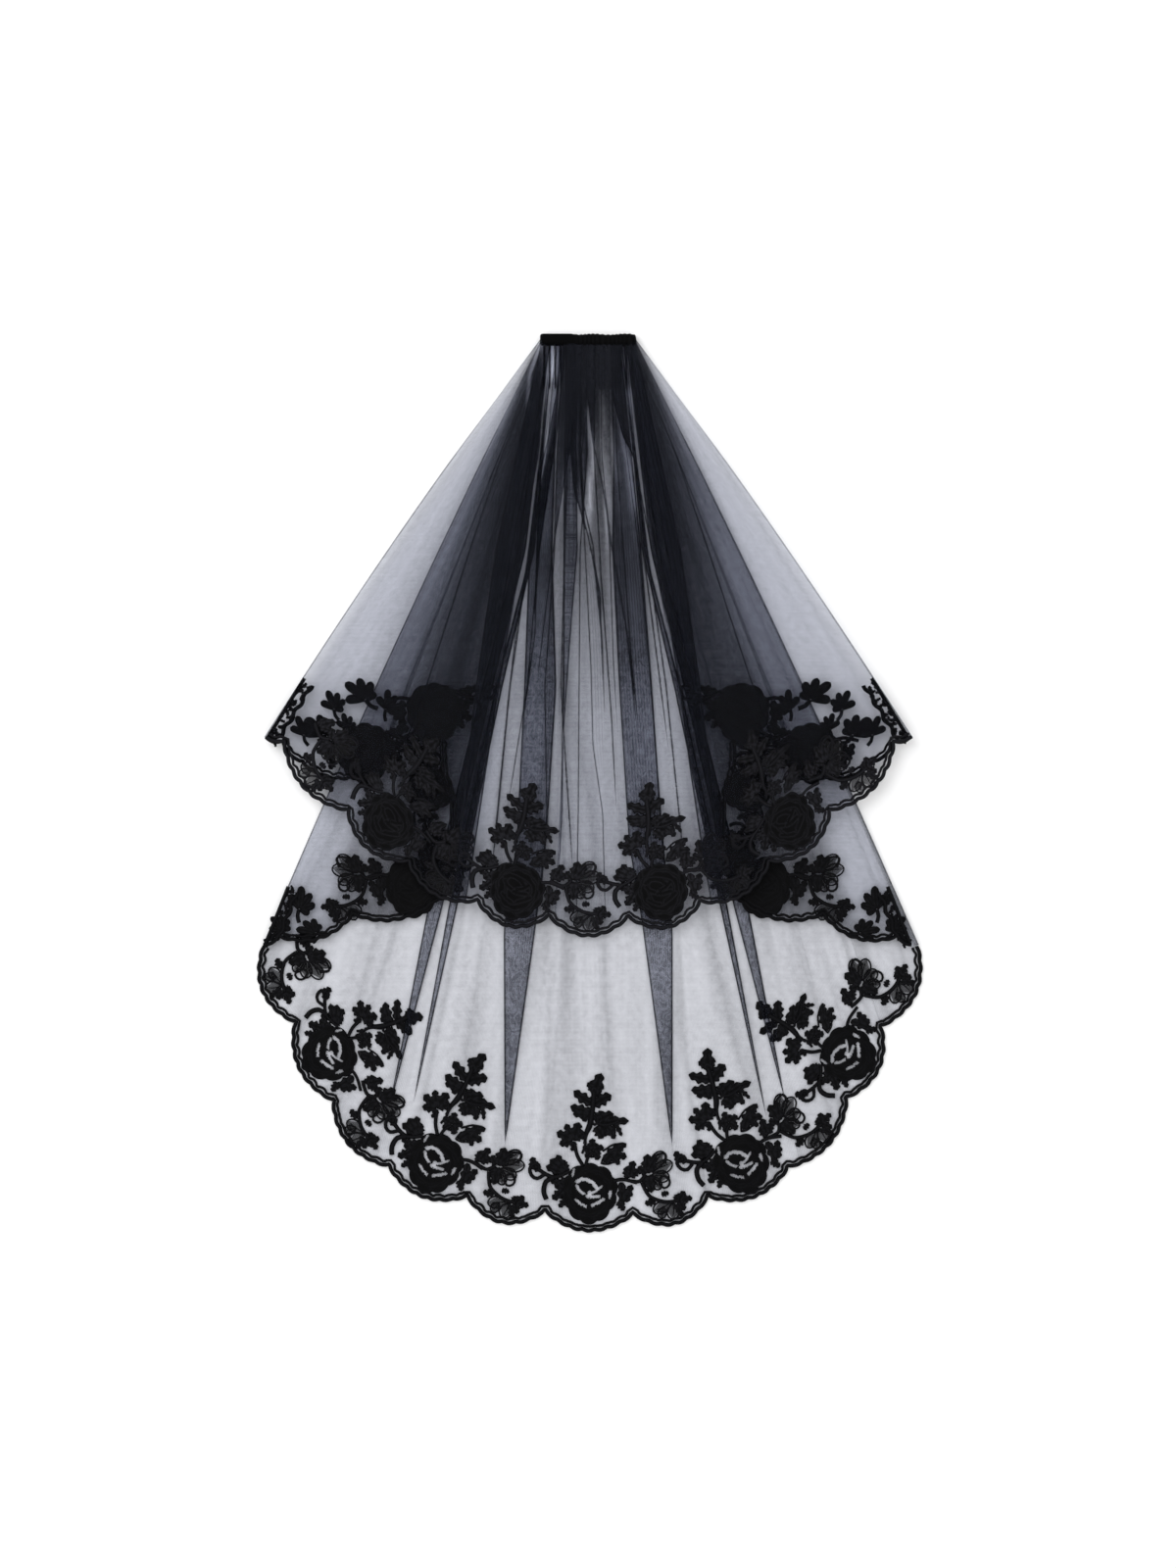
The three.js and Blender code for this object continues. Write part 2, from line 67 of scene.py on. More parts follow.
# Hem cusps, left to right: x, down, and the swell of the scallop that follows
LOWER_FACE_CUSPS = [
    (-332, 619, 19), (-300, 698, 17), (-261, 778, 17), (-204, 845, 17), (-124, 876, 20), (-44, 891, 19),
    (46, 894, 20), (123, 876, 17), (205, 846, 17), (265, 775, 17), (300, 702, 19), (337, 619, 0),
]
UPPER_FACE_CUSPS = [
    (-329, 407, 2), (-310, 411, 17), (-245, 481, 17), (-183, 533, 16), (-113, 573, 19), (-40, 589, 20),
    (41, 590, 19), (115, 574, 16), (185, 533, 17), (247, 481, 17), (312, 411, 2), (331, 406, 0),
]
# The folded parts of the left side, from the outer corner to the inner fold; the right side mirrors them
LOWER_FOLD_CUSPS = [(-332, 619, 3), (-316, 610, 14), (-240, 587, 12), (-160, 576, 3), (-137, 556, 0)]
UPPER_BACK_CUSPS = [(-329, 407, 3), (-312, 411, 4), (-292, 432, 15), (-216, 436, 5), (-209, 408, 12),
                    (-150, 412, 4), (-140, 470, 3), (-131, 552, 0)]

# Knife pleats: where the right and the left fold line run (down, x), the tip, and the height of a layer
LOWER_PLEATS = [
    dict(left=[(0, -41), (214, -72), (354, -108), (578, -163), (784, -203)],
         right=[(0, -39), (214, -64), (354, -98), (578, -149), (784, -203)], tip=784, rise=1.0),
    dict(left=[(0, -38), (214, -58), (354, -94), (578, -142), (782, -179)],
         right=[(0, -36), (214, -55), (354, -88), (578, -134), (782, -179)], tip=782, rise=0.8),
    dict(left=[(0, -33), (114, -42), (214, -60), (354, -65), (514, -73), (600, -86), (822, -85)],
         right=[(0, -22), (114, -34), (214, -37), (354, -33), (514, -43), (600, -54), (822, -85)],
         tip=822, rise=1.1),
    dict(left=[(0, 22), (114, 26), (214, 25), (354, 32), (514, 42), (600, 56), (824, 86)],
         right=[(0, 32), (114, 44), (214, 54), (354, 65), (514, 76), (600, 86), (824, 86)],
         tip=824, rise=1.1),
    dict(left=[(0, 36), (214, 55), (354, 88), (578, 135), (798, 183)],
         right=[(0, 38), (214, 58), (354, 94), (578, 142), (798, 183)], tip=798, rise=0.8),
    dict(left=[(0, 39), (214, 64), (354, 98), (578, 149), (776, 201)],
         right=[(0, 41), (214, 72), (354, 108), (578, 163), (776, 201)], tip=776, rise=1.0),
]
UPPER_PLEATS = [
    dict(left=[(0, -47), (114, -72), (214, -94), (354, -114), (440, -124), (560, -136)],
         right=[(0, -43), (114, -50), (214, -67), (354, -91), (440, -104), (560, -122)], tip=900, rise=1.0),
    dict(left=[(0, -20), (114, -24), (214, -25), (300, -25), (400, -25)],
         right=[(0, -14), (114, -12), (214, -11), (300, -18), (400, -25)], tip=400, rise=0.7),
    dict(left=[(0, 43), (114, 52), (214, 70), (354, 93), (440, 104), (560, 122)],
         right=[(0, 47), (114, 72), (214, 94), (354, 114), (440, 124), (560, 136)], tip=900, rise=1.0),
]
# Fine gathers: hairline folds by their run (down, x) and tip
UPPER_HAIRLINES = [
    ([(0, -40), (114, -86), (214, -120), (349, -163)], 470),
    ([(0, -38), (114, -58), (214, -78), (354, -100)], 430),
    ([(0, -30), (114, -45), (214, -55), (300, -74), (400, -84)], 400),
    ([(0, -27), (114, -35), (214, -50), (354, -62), (484, -83)], 500),
    ([(0, -25), (114, -31), (214, -34), (354, -44), (484, -42), (600, -50)], 620),
    ([(0, -22), (214, -24), (298, -25), (484, -27)], 560),
    ([(0, -6), (114, -8), (214, -3), (334, 3), (414, 5), (484, 15)], 640),
    ([(0, 7), (114, 6), (214, 12), (238, 13), (330, 20), (386, 24), (480, 29)], 500),
    ([(0, -3), (114, -1), (214, -8), (334, -9), (484, -10)], 640),
    ([(0, 28), (114, 29), (214, 36), (334, 45)], 420),
    ([(0, 30), (114, 39), (214, 52), (354, 64), (454, 72), (600, 84)], 620),
    ([(0, 34), (114, 46), (214, 56), (354, 74), (434, 84)], 434),
    ([(0, 38), (114, 58), (214, 80), (354, 104)], 430),
    ([(0, 40), (114, 88), (214, 122), (349, 166)], 470),
    ([(0, -1), (54, -1), (80, -2), (118, -7), (166, -5), (210, 5), (300, 14)], 400),
    ([(0, 1), (56, 0), (104, 5), (140, 13), (176, 19), (210, 22), (330, 26)], 420),
    ([(0, -14), (114, -17), (152, -14), (200, 0), (260, 12)], 330),
    ([(0, 24), (61, 26), (99, 36), (118, 46), (200, 62)], 330),
    ([(0, -29), (51, -31), (104, -41), (133, -48), (200, -51), (300, -54)], 420),
    ([(0, -12), (85, -14), (128, -22), (200, -34), (300, -46)], 380),
    ([(0, 13), (114, 14), (152, 17), (210, 24), (300, 40)], 420),
]
LOWER_HAIRLINES = [
    ([(0, -17), (214, -24), (354, -28), (600, -12)], 560),
    ([(0, 34), (214, 60), (354, 80), (600, 105)], 570),
    ([(0, -34), (214, -60), (354, -80), (600, -104)], 570),
]
# Densities of a crease, a hidden ply and the turn at an outer edge, against plain net
CREASE = 4.5
HIDDEN = 1.1
TURN_DENSITY = 3.4
CREASE_REACH = 1.4
HIDDEN_LOSS = 0.6
HIDDEN_CLEAR = 240.0
MOIRE_START = 230.0
PLY_STEP = 0.03
FAN_START = 98.0
FOLD_LINE_LIMIT = 235.0
NET_DEPTH = 0.28
# Hairline folds: place beside the line, density and lift, and how far down they grow to full strength
HAIRLINE_PLAN = [(-2.0, 1.0, 0.0), (0.6, 3.0, 0.3), (-0.6, 3.0, 0.7), (2.0, 1.0, 0.3)]
HAIRLINE_GROWN = 240.0
COLUMN_SPACING = 7.0


def smooth(value):
    t = np.clip(value, 0.0, 1.0)
    return t * t * (3.0 - 2.0 * t)


def layer_height(layer, x, down):
    head, rest, middle = LAYERS[layer]
    inner_fold = INNER_FOLD_TOP + down * INNER_FOLD_SLOPE
    side = smooth((np.abs(x) - inner_fold + SINK_RUN) / (SINK_RUN - 6.0))
    flat = middle + (rest - middle) * side
    return head + (flat - head) * smooth((down - LIFT_START) / LIFT_RUN)


# How densely the net is gathered: many threads near the comb and in the middle, few at the open sides
GATHER_DOWN = [0, 34, 60, 104, 154, 214, 274, 394, 480, 950]
GATHER_RATE = [7.0, 6.6, 4.4, 3.1, 2.4, 1.8, 1.45, 1.05, 1.0, 1.0]
GATHER_REACH = 28.0
GATHER_SPREAD = 0.2
THREAD_SHARE = {"lower_face": 0.95, "lower_fold": 0.8, "upper_back": 0.85, "upper_face": 0.95}
# The upper tier thins out past the line that the lower tier's edge makes under it
LOWER_EDGE_TOP = 38.0
LOWER_EDGE_SLOPE = 0.46
OUTSIDE_LOSS = 0.25
HEM_START = 450.0
HEM_GAIN = 0.08
# A folded part is bunched along its inner stretch; places across it are shares of its width
BUNCH = 1.9
FOLD_TOP = 45.0
FOLD_WIDTH_TOP = 20.0
FOLD_WIDTH_SLOPE = 0.42
FOLD_LOSS = 0.55
# Light places between the gathers below the comb, by their run (down, x), half width and share lost
LIGHT_SLITS = [
    ([(0, -36), (42, -36)], 12.0, 0.95),
    ([(56, -36), (90, -38), (120, -41), (160, -44), (200, -46)], 7.5, 0.72),
    ([(8, -50), (35, -59), (60, -62)], 2.5, 0.7),
    ([(20, 37), (52, 37)], 8.0, 0.55),
    ([(58, -15), (95, -17), (130, -23), (170, -28)], 2.0, 0.5),
    ([(66, -8), (95, -10), (130, -15), (180, -19)], 2.2, 0.6),
    ([(70, -1), (87, 0), (105, 4), (130, 4), (180, 0)], 3.5, 0.8),
    ([(100, -5), (190, -9)], 3.0, 0.45),
    ([(56, 14), (80, 15), (105, 14), (135, 17), (200, 20)], 2.6, 0.6),
    ([(50, 28), (73, 30), (98, 34), (127, 41), (170, 47)], 3.0, 0.75),
    ([(54, 42), (79, 43), (110, 47)], 3.5, 0.7),
    ([(90, 24), (130, 28), (190, 34)], 2.2, 0.55),
]


def slit_share(x, down):
    """The share of the net's threads that the light slits leave."""
    kept = np.ones(np.shape(x))
    for run, half, lost in LIGHT_SLITS:
        downs, xs = zip(*run)
        near = np.exp(-(((x - np.interp(down, downs, xs)) / half) ** 4))
        window = smooth((down - downs[0] + 12.0) / 14.0) * smooth((downs[-1] + 30.0 - down) / 40.0)
        kept = kept * (1.0 - lost * near * window)
    return kept


def net_density(layer, x, down):
    rate = np.interp(down, GATHER_DOWN, GATHER_RATE)
    middle = np.exp(-((x / (GATHER_REACH + GATHER_SPREAD * down)) ** 2))
    base = THREAD_SHARE[layer]
    if layer.startswith("upper"):
        outside = smooth((np.abs(x) - LOWER_EDGE_TOP - LOWER_EDGE_SLOPE * down) / 30.0)
        base = base * (1.0 - OUTSIDE_LOSS * outside)
    if layer == "lower_face":
        base = base * (1.0 + HEM_GAIN * smooth((down - HEM_START) / 100.0))
    if layer in ("lower_fold", "upper_back"):
        inner = FOLD_TOP + down * INNER_FOLD_SLOPE
        share = np.clip((np.abs(x) - inner) / (FOLD_WIDTH_SLOPE * down + FOLD_WIDTH_TOP), 0.0, 1.0)
        base = base * (1.0 + BUNCH * smooth((0.62 - share) / 0.42) * smooth(share / 0.22))
    if layer == "lower_fold":
        base = base * (1.0 - FOLD_LOSS * smooth((share - 0.35) / 0.3))
    return base * (1.0 + (rate - 1.0) * middle) * slit_share(x, down)


# Hem curves
HEM_STEP = 1.5
RIPPLE_LENGTH = 13.0
RIPPLE_HEIGHT = 1.7
SMOOTH_SWELL = 6


def scalloped(cusps):
    """Scallops between the cusps; the round ones carry small ripples."""
    xs, downs = [], []
    for (x0, d0, swell), (x1, d1, _) in zip(cusps[:-1], cusps[1:]):
        chord = math.hypot(x1 - x0, d1 - d0)
        count = max(2, int(chord / HEM_STEP))
        out = np.array([-(d1 - d0), x1 - x0]) / chord
        ripples = max(1, round(chord / RIPPLE_LENGTH))
        for k in range(count):
            t = k / count
            bulge = swell * math.sin(math.pi * t) ** 0.8
            if swell > SMOOTH_SWELL:
                bulge += RIPPLE_HEIGHT * abs(math.sin(math.pi * ripples * t)) - 0.8
            xs.append(x0 + (x1 - x0) * t + out[0] * bulge)
            downs.append(d0 + (d1 - d0) * t + out[1] * bulge)
    xs.append(cusps[-1][0])
    downs.append(cusps[-1][1])
    return np.array(xs, float), np.array(downs, float)


class Hem:
    """A scalloped hem by arc length, from left to right."""

    def __init__(self, cusps):
        self.x, self.down = scalloped(cusps)
        steps = np.hypot(np.diff(self.x), np.diff(self.down))
        self.s = np.concatenate([[0.0], np.cumsum(steps)])
        self.length = self.s[-1]

    def at(self, s):
        return np.interp(s, self.s, self.x), np.interp(s, self.s, self.down)

    def cross(self, run):
        """Arc place where a fold line, x as a function of down, meets the hem."""
        gap = self.x - run(self.down)
        gap = np.where(np.abs(self.x) < FOLD_LINE_LIMIT, np.abs(gap), np.inf)
        return self.s[int(np.argmin(gap))]


def line_through(points):
    """A fold line, x as a function of down; past its last point it runs on along the fan's rays."""
    downs, xs = zip(*points)

    def run(down):
        beyond = np.maximum(np.asarray(down) - downs[-1], 0.0)
        return np.interp(down, downs, xs) * (1.0 + beyond / (FAN_START + downs[-1]))

    return run


class Column:
    """One line of net from the band to the hem: x and down by row, net density, and lift over the layer."""

    def __init__(self, hem, head_x, s, offset, density=1.0, lift=0.0):
        self.head_x, self.s, self.offset = head_x, s, offset
        self.density, self.lift = np.full(ROW_COUNT, density), np.full(ROW_COUNT, lift)
        self.moire = np.zeros(ROW_COUNT)
        hem_x, hem_down = hem.at(s)
        self.down = HEAD_DOWN + (hem_down - HEAD_DOWN) * V
        self.x = head_x + (hem_x - head_x) * V + offset


def column_on(hem, run):
    """A plain column along a fold line, which ends where the line meets the hem."""
    s = hem.cross(run)
    hem_x, hem_down = hem.at(s)
    head_x = float(run(0.0))
    down = HEAD_DOWN + (hem_down - HEAD_DOWN) * V
    offset = run(down) - (head_x + (hem_x - head_x) * V)
    offset = offset * np.clip((1.0 - V) * 12.0, 0.0, 1.0)
    return Column(hem, head_x, s, offset)


def pleat_columns(hem, left, right, tip, rise):
    """A knife pleat: forward to its right fold line, back to the left one, and forward again on top."""
    tail = 0.5 * (left(tip) + right(tip))
    slope = 0.5 * (left(tip + 1.0) - left(tip) + right(tip + 1.0) - right(tip))
    slope = np.clip(slope, -0.3, 0.3)

    def edge(which, aside):
        def run(down):
            down = np.asarray(down, float)
            width = np.maximum(right(down) - left(down), 0.0)
            open_part = np.where(down < tip, (right if which == "right" else left)(down), 0.0)
            shut_part = tail + slope * (down - tip)
            shift = np.sign(aside) * np.minimum(abs(aside), width * 0.4)
            return np.where(down < tip, open_part + shift, shut_part)

        return run

    def width_at(down):
        return np.where(down < tip, np.maximum(right(down) - left(down), 0.0), 0.0)

    columns = []
    # Which fold line, the place beside it, the density and the number of plies underneath
    plan = [
        ("right", -CREASE_REACH, 1.0, 0.0),
        ("right", -0.25, CREASE, 0.0),
        ("right", 0.5, CREASE, 0.5),
        ("right", -0.25, CREASE, 1.0),
        ("right", -CREASE_REACH, HIDDEN, 1.0),
        ("left", CREASE_REACH, HIDDEN, 1.0),
        ("left", 0.25, CREASE, 1.0),
        ("left", -0.5, CREASE, 1.5),
        ("left", 0.25, CREASE, 2.0),
        ("left", CREASE_REACH, 1.0, 2.0),
        ("right", 0.0, 1.0, 2.0),
    ]
    for k, (which, aside, density, level) in enumerate(plan):
        column = column_on(hem, edge(which, aside))
        width = width_at(column.down)
        sharp = smooth(width / 0.8)
        column.density = 1.0 + (density - 1.0) * sharp
        if level > 0.0 or density == CREASE:
            hidden = smooth((HIDDEN_CLEAR - column.down) / 140.0)
            column.density = column.density * (1.0 - HIDDEN_LOSS * hidden)
        column.lift = level * np.minimum(rise, width * 0.3)
        if density == HIDDEN:
            column.moire = sharp * smooth((column.down - MOIRE_START) / 120.0)
        column.x = column.x + PLY_STEP * k
        column.offset = column.offset + PLY_STEP * k
        columns.append(column)
    return columns


def hairline_columns(hem, run, tip):
    """A hairline fold: the net doubles over a millimetre and runs out at its tip."""
    def shifted(aside):
        def moved(down):
            down = np.asarray(down, float)
            width = (0.32 + 0.38 * smooth(down / 220.0)) * smooth((tip - down) / 80.0)
            return run(down) + aside * width

        return moved

    columns = []
    for aside, density, lift in HAIRLINE_PLAN:
        column = column_on(hem, shifted(aside))
        alive = smooth((tip - column.down) / 60.0)
        grown = 0.3 + 0.7 * smooth(column.down / HAIRLINE_GROWN)
        column.density = 1.0 + (density - 1.0) * alive * grown
        column.lift = lift * alive
        columns.append(column)
    return columns


def between(hem, first, last):
    """Plain columns that fill the cloth from one column to the next."""
    gap = abs(last.s - first.s)
    count = max(1, int(gap / COLUMN_SPACING))
    made = []
    for k in range(1, count + 1):
        t = k / (count + 1)
        fade = smooth(1.0 - t * gap / 12.0)
        made.append(Column(
            hem,
            first.head_x + (last.head_x - first.head_x) * t,
            first.s + (last.s - first.s) * t,
            first.offset + (last.offset - first.offset) * t,
            lift=first.lift * fade,
        ))
    return made


def laid_columns(hem, start, end, pleats=(), hairlines=()):
    """All columns of a layer from its start to its end, with its pleats and hairlines in order."""
    groups = []
    for pleat in pleats:
        left, right = line_through(pleat["left"]), line_through(pleat["right"])
        groups.append(pleat_columns(hem, left, right, pleat["tip"], pleat["rise"]))
    for run, tip in hairlines:
        groups.append(hairline_columns(hem, line_through(run), tip))
    groups.sort(key=lambda group: group[0].head_x * 0.3 + np.interp(0.55, V, group[0].x))
    columns = [start]
    for group in groups:
        columns += between(hem, columns[-1], group[0]) + group
    columns += between(hem, columns[-1], end) + [end]
    return columns


def edge_column(hem, side, s, head_x):
    return Column(hem, head_x, s, side * EDGE_BULGE * np.sin(np.pi * V))


def placed(layer, columns, mirror=False):
    """For each column of a layer its x, down and z in millimetres, its net's density and its moire."""
    out = []
    for column in columns:
        x = -column.x if mirror else column.x
        z = layer_height(layer, x, column.down) + column.lift
        density = net_density(layer, x, column.down) * column.density
        out.append((x, column.down, z, density, column.moire))
    return out


def turned(low, high, side):
    """The round turn of the cloth at an outer edge, from the lower layer up to the upper one."""
    out = []
    x, down, z_low, density, moire = low
    z_high = high[2]
    run_x, run_down = np.gradient(x), np.gradient(down)
    size = np.hypot(run_x, run_down)
    out_x, out_down = -run_down / size, run_x / size
    flip = np.where(out_x * side < 0, -1.0, 1.0)
    radius = (z_high - z_low) / 2.0
    for angle in (-60, -30, 0, 30, 60):
        reach = radius * math.cos(math.radians(angle)) * 0.6
        rise = radius * (1.0 + math.sin(math.radians(angle)))
        turn_x = x + out_x * flip * reach
        turn_down = down + out_down * flip * reach
        out.append((turn_x, turn_down, z_low + rise, density * TURN_DENSITY, moire))
    return out


def tier(face, face_cusps, pleats, hairlines, fold, fold_cusps, fold_on_top):
    """A tier as one sheet: left fold, turn, open face, turn, right fold."""
    hem = Hem(face_cusps)
    start = edge_column(hem, -1, 0.0, -HEAD_SPREAD)
    end = edge_column(hem, 1, hem.length, HEAD_SPREAD)
    main = placed(face, laid_columns(hem, start, end, pleats, hairlines))
    fold_hem = Hem(fold_cusps)
    outer = edge_column(fold_hem, -1, 0.0, -HEAD_SPREAD)
    inner = Column(fold_hem, -HEAD_SPREAD + EDGE_HEAD_WIDTH, fold_hem.length,
                   INNER_BULGE * np.sin(np.pi * V), INNER_DENSITY)
    fold_columns = laid_columns(fold_hem, outer, inner)
    left = placed(fold, fold_columns)
    right = placed(fold, fold_columns, mirror=True)
    if fold_on_top:
        left_turn = turned(main[0], left[0], -1)[::-1]
        right_turn = turned(main[-1], right[0], 1)
    else:
        left_turn = turned(left[0], main[0], -1)
        right_turn = turned(right[0], main[-1], 1)[::-1]
    return left[::-1] + left_turn + main + right_turn + right


def grid_faces(rows, cols, closed=False):
    """Faces of a grid of points; a closed one joins its last row to its first."""
    index = np.arange(rows * cols).reshape(rows, cols)
    if closed:
        index = np.vstack([index, index[:1]])
    corners = [index[:-1, :-1], index[:-1, 1:], index[1:, 1:], index[1:, :-1]]
    return np.stack(corners, axis=-1).reshape(-1, 4)


def mesh_object(name, verts, faces, material, uv=None, values=None, smooth_shade=True):
    mesh = bpy.data.meshes.new(name)
    mesh.from_pydata([tuple(v) for v in verts], [], [tuple(f) for f in faces])
    if uv is not None:
        layer = mesh.uv_layers.new(name="UVMap")
        loops = np.empty(len(mesh.loops), int)
        mesh.loops.foreach_get("vertex_index", loops)
        layer.data.foreach_set("uv", np.asarray(uv, float)[loops].ravel())
    for title, numbers in (values or {}).items():
        attribute = mesh.attributes.new(title, "FLOAT", "POINT")
        attribute.data.foreach_set("value", np.asarray(numbers, np.float32).reshape(-1))
    if smooth_shade:
        mesh.polygons.foreach_set("use_smooth", [True] * len(mesh.polygons))
    mesh.materials.append(material)
    piece = bpy.data.objects.new(name, mesh)
    scene.collection.objects.link(piece)
    return piece


def cloth_object(name, columns, material):
    """The net as one mesh; its UV runs across the unfolded cloth and down it, in metres."""
    x, down, z, density, moire = (np.array(rows) for rows in zip(*columns))
    values = {"net_density": density, "moire": moire}
    count = len(columns)
    verts = np.stack([x, -down, z], axis=-1).reshape(-1, 3) * MM
    faces = grid_faces(count, ROW_COUNT)
    row = int(ROW_COUNT * 0.8)
    gaps = np.hypot(np.diff(x[:, row]), np.diff(down[:, row]))
    across = np.concatenate([[0.0], np.cumsum(np.maximum(gaps, 0.05))])
    lengths = down - down[:, :1]
    uv = np.stack([np.repeat(across[:, None], ROW_COUNT, axis=1), lengths], axis=-1).reshape(-1, 2) * MM
    return mesh_object(name, verts, faces, material, uv, values)


# Materials
class Shading:
    """A material's node tree; each input takes a value, or the output that feeds it."""

    def __init__(self, name):
        self.material = bpy.data.materials.new(name)
        self.material.use_nodes = True
        self.nodes = self.material.node_tree.nodes
        self.nodes.clear()
        self.place = self.nodes.new("ShaderNodeTexCoord").outputs

    def feed(self, socket, value):
        if isinstance(value, bpy.types.NodeSocket):
            self.material.node_tree.links.new(value, socket)
        else:
            socket.default_value = value

    def add(self, kind, **inputs):
        node = self.nodes.new("ShaderNode" + kind)
        for title, value in inputs.items():
            self.feed(node.inputs[title.replace("_", " ")], value)
        return node

    def math(self, operation, *inputs):
        node = self.nodes.new("ShaderNodeMath")
        node.operation = operation
        for socket, value in zip(node.inputs, inputs):
            self.feed(socket, value)
        return node.outputs[0]

    def product(self, value, *factors):
        for factor in factors:
            value = self.math("MULTIPLY", value, factor)
        return value

    def attribute(self, name):
        node = self.nodes.new("ShaderNodeAttribute")
        node.attribute_name = name
        return node.outputs["Fac"]

    def noise(self, vector, stretch=None, **inputs):
        if stretch is not None:
            vector = self.add("Mapping", Vector=vector, Scale=stretch).outputs["Vector"]
        return self.add("TexNoise", Vector=vector, **inputs).outputs["Fac"]

    def wave(self, vector, **inputs):
        return self.add("TexWave", Vector=vector, **inputs).outputs["Fac"]

    def bump(self, height, strength, distance):
        return self.add("Bump", Height=height, Strength=strength, Distance=distance).outputs["Normal"]

    def ramp(self, value, *stops):
        node = self.add("ValToRGB", Fac=value)
        for element, (position, color) in zip(node.color_ramp.elements, stops):
            element.position = position
            element.color = (*color, 1)
        return node.outputs["Color"]

    def over(self, cover, behind, front):
        """The front shader over the one behind, by the share that it covers."""
        node = self.nodes.new("ShaderNodeMixShader")
        for socket, value in zip(node.inputs, (cover, behind, front)):
            self.feed(socket, value)
        return node.outputs[0]

    def finish(self, surface):
        self.add("OutputMaterial", Surface=surface)
        return self.material


def tulle_material():
    """Net: mesh, cloudy and flecked thickness, painted wrinkle shade, and a watered pattern where plies
    cross.
    """
    net = Shading("tulle_net")
    flat = net.place["UV"]
    cells = net.nodes.new("ShaderNodeTexVoronoi")
    cells.feature = "DISTANCE_TO_EDGE"
    net.feed(cells.inputs["Scale"], 760.0)
    net.feed(cells.inputs["Randomness"], 0.35)
    net.feed(cells.inputs["Vector"], flat)
    wire = net.math("LESS_THAN", cells.outputs["Distance"], 0.16)
    weave = net.math("MULTIPLY_ADD", wire, 0.9, 0.62)
    cloudy = net.math("MULTIPLY_ADD", net.noise(flat, (1.0, 0.09, 1.0), Scale=55.0, Detail=3.0), 0.9, 0.55)
    flecked = net.math("MULTIPLY_ADD", net.noise(flat, Scale=150.0, Detail=2.0), 0.8, 0.6)
    # Painted wrinkle shade: long thin streaks of denser net darken the flat sheet where no wrinkle is
    # modelled
    folds = net.noise(flat, (1.0, 0.07, 1.0), Scale=17.0, Detail=1.0)
    aside = net.math("ABSOLUTE", net.math("SUBTRACT", folds, 0.5))
    ridge = net.math("SUBTRACT", 1.0, net.math("MULTIPLY", aside, 9.0))
    ridge = net.math("POWER", net.math("MAXIMUM", ridge, 0.0), 2.0)
    painted_wrinkle_shade = net.math("MULTIPLY_ADD", ridge, 0.42, 0.93)
    worms = net.noise(net.place["Object"], (1.0, 0.55, 0.0), Scale=120.0, Detail=1.0, Distortion=1.6)
    contour = net.math("ABSOLUTE", net.math("SUBTRACT", worms, 0.5))
    watered = net.math("MINIMUM", net.math("MULTIPLY_ADD", contour, 9.0, -0.8), 0.4)
    watered = net.math("MULTIPLY_ADD", net.attribute("moire"), watered, 1.0)
    mottled = net.product(cloudy, flecked, painted_wrinkle_shade, watered)
    depth = net.product(net.attribute("net_density"), NET_DEPTH, weave, mottled)
    passed = net.math("EXPONENT", net.math("MULTIPLY", depth, -1.0))
    cover = net.math("SUBTRACT", 1.0, passed)
    thread = net.add("BsdfPrincipled", Base_Color=(0.007, 0.0078, 0.0115, 1), Roughness=0.62,
                     Specular_IOR_Level=0.06)
    clear = net.add("BsdfTransparent", Color=(0.96, 0.968, 1.0, 1))
    return net.finish(net.over(cover, clear.outputs[0], thread.outputs[0]))


def thread_material(name, color, roughness, stitch_scale, bump_depth, sheen, gloss):
    """Stitched thread, with painted shade in its grooves and a painted highlight on its ridges, as a
    per-point attribute marks them.
    """
    thread = Shading(name)
    stitch = thread.wave(thread.place["UV"], Scale=stitch_scale, Distortion=1.5, Detail=1.0)
    grain = thread.noise(thread.place["Object"], Scale=900.0)
    height = thread.math("MULTIPLY_ADD", grain, 0.5, stitch)
    tone = thread.math("MULTIPLY_ADD", stitch, 0.2, thread.attribute("relief"))
    # Painted light: the tone takes the thread from painted shade at 0.3 times its colour to a painted
    # highlight at 5.5 times
    painted_shade_colour = [part * 0.3 for part in color]
    painted_highlight_colour = [part * 5.5 for part in color]
    shader = thread.add("BsdfPrincipled", Base_Color=thread.ramp(tone, (0.2, painted_shade_colour), (1.0, painted_highlight_colour)),
                        Roughness=roughness, Sheen_Weight=sheen, Sheen_Roughness=0.4,
                        Specular_IOR_Level=gloss, Normal=thread.bump(height, 0.6, bump_depth))
    return thread.finish(shader.outputs[0])


def fill_material():
    """Sparse satin stitches that fill an outlined petal."""
    fill = Shading("lace_fill")
    rows = fill.wave(fill.place["UV"], Scale=300.0, Distortion=2.0)
    cover = fill.math("MULTIPLY_ADD", rows, 0.3, 0.5)
    thread = fill.add("BsdfPrincipled", Base_Color=(0.008, 0.008, 0.009, 1), Roughness=0.6,
                      Specular_IOR_Level=0.08)
    clear = fill.add("BsdfTransparent")
    return fill.finish(fill.over(cover, clear.outputs[0], thread.outputs[0]))


def plastic_material():
    plastic = Shading("comb_plastic")
    grain = plastic.noise(plastic.place["Object"], Scale=260.0, Detail=4.0)
    rough = plastic.add("MapRange", Value=grain, To_Min=0.22, To_Max=0.42).outputs["Result"]
    shader = plastic.add("BsdfPrincipled", Base_Color=(0.012, 0.012, 0.014, 1), Roughness=rough,
                         Normal=plastic.bump(grain, 0.12, 0.0002))
    return plastic.finish(shader.outputs[0])


def stage_material():
    paint = Shading("floor_paint")
    grain = paint.noise(paint.place["Object"], Scale=3.0)
    color = paint.ramp(grain, (0.0, (0.93, 0.93, 0.935)), (1.0, (0.95, 0.95, 0.95)))
    shader = paint.add("BsdfPrincipled", Base_Color=color, Roughness=0.9, Specular_IOR_Level=0.0)
    return paint.finish(shader.outputs[0])


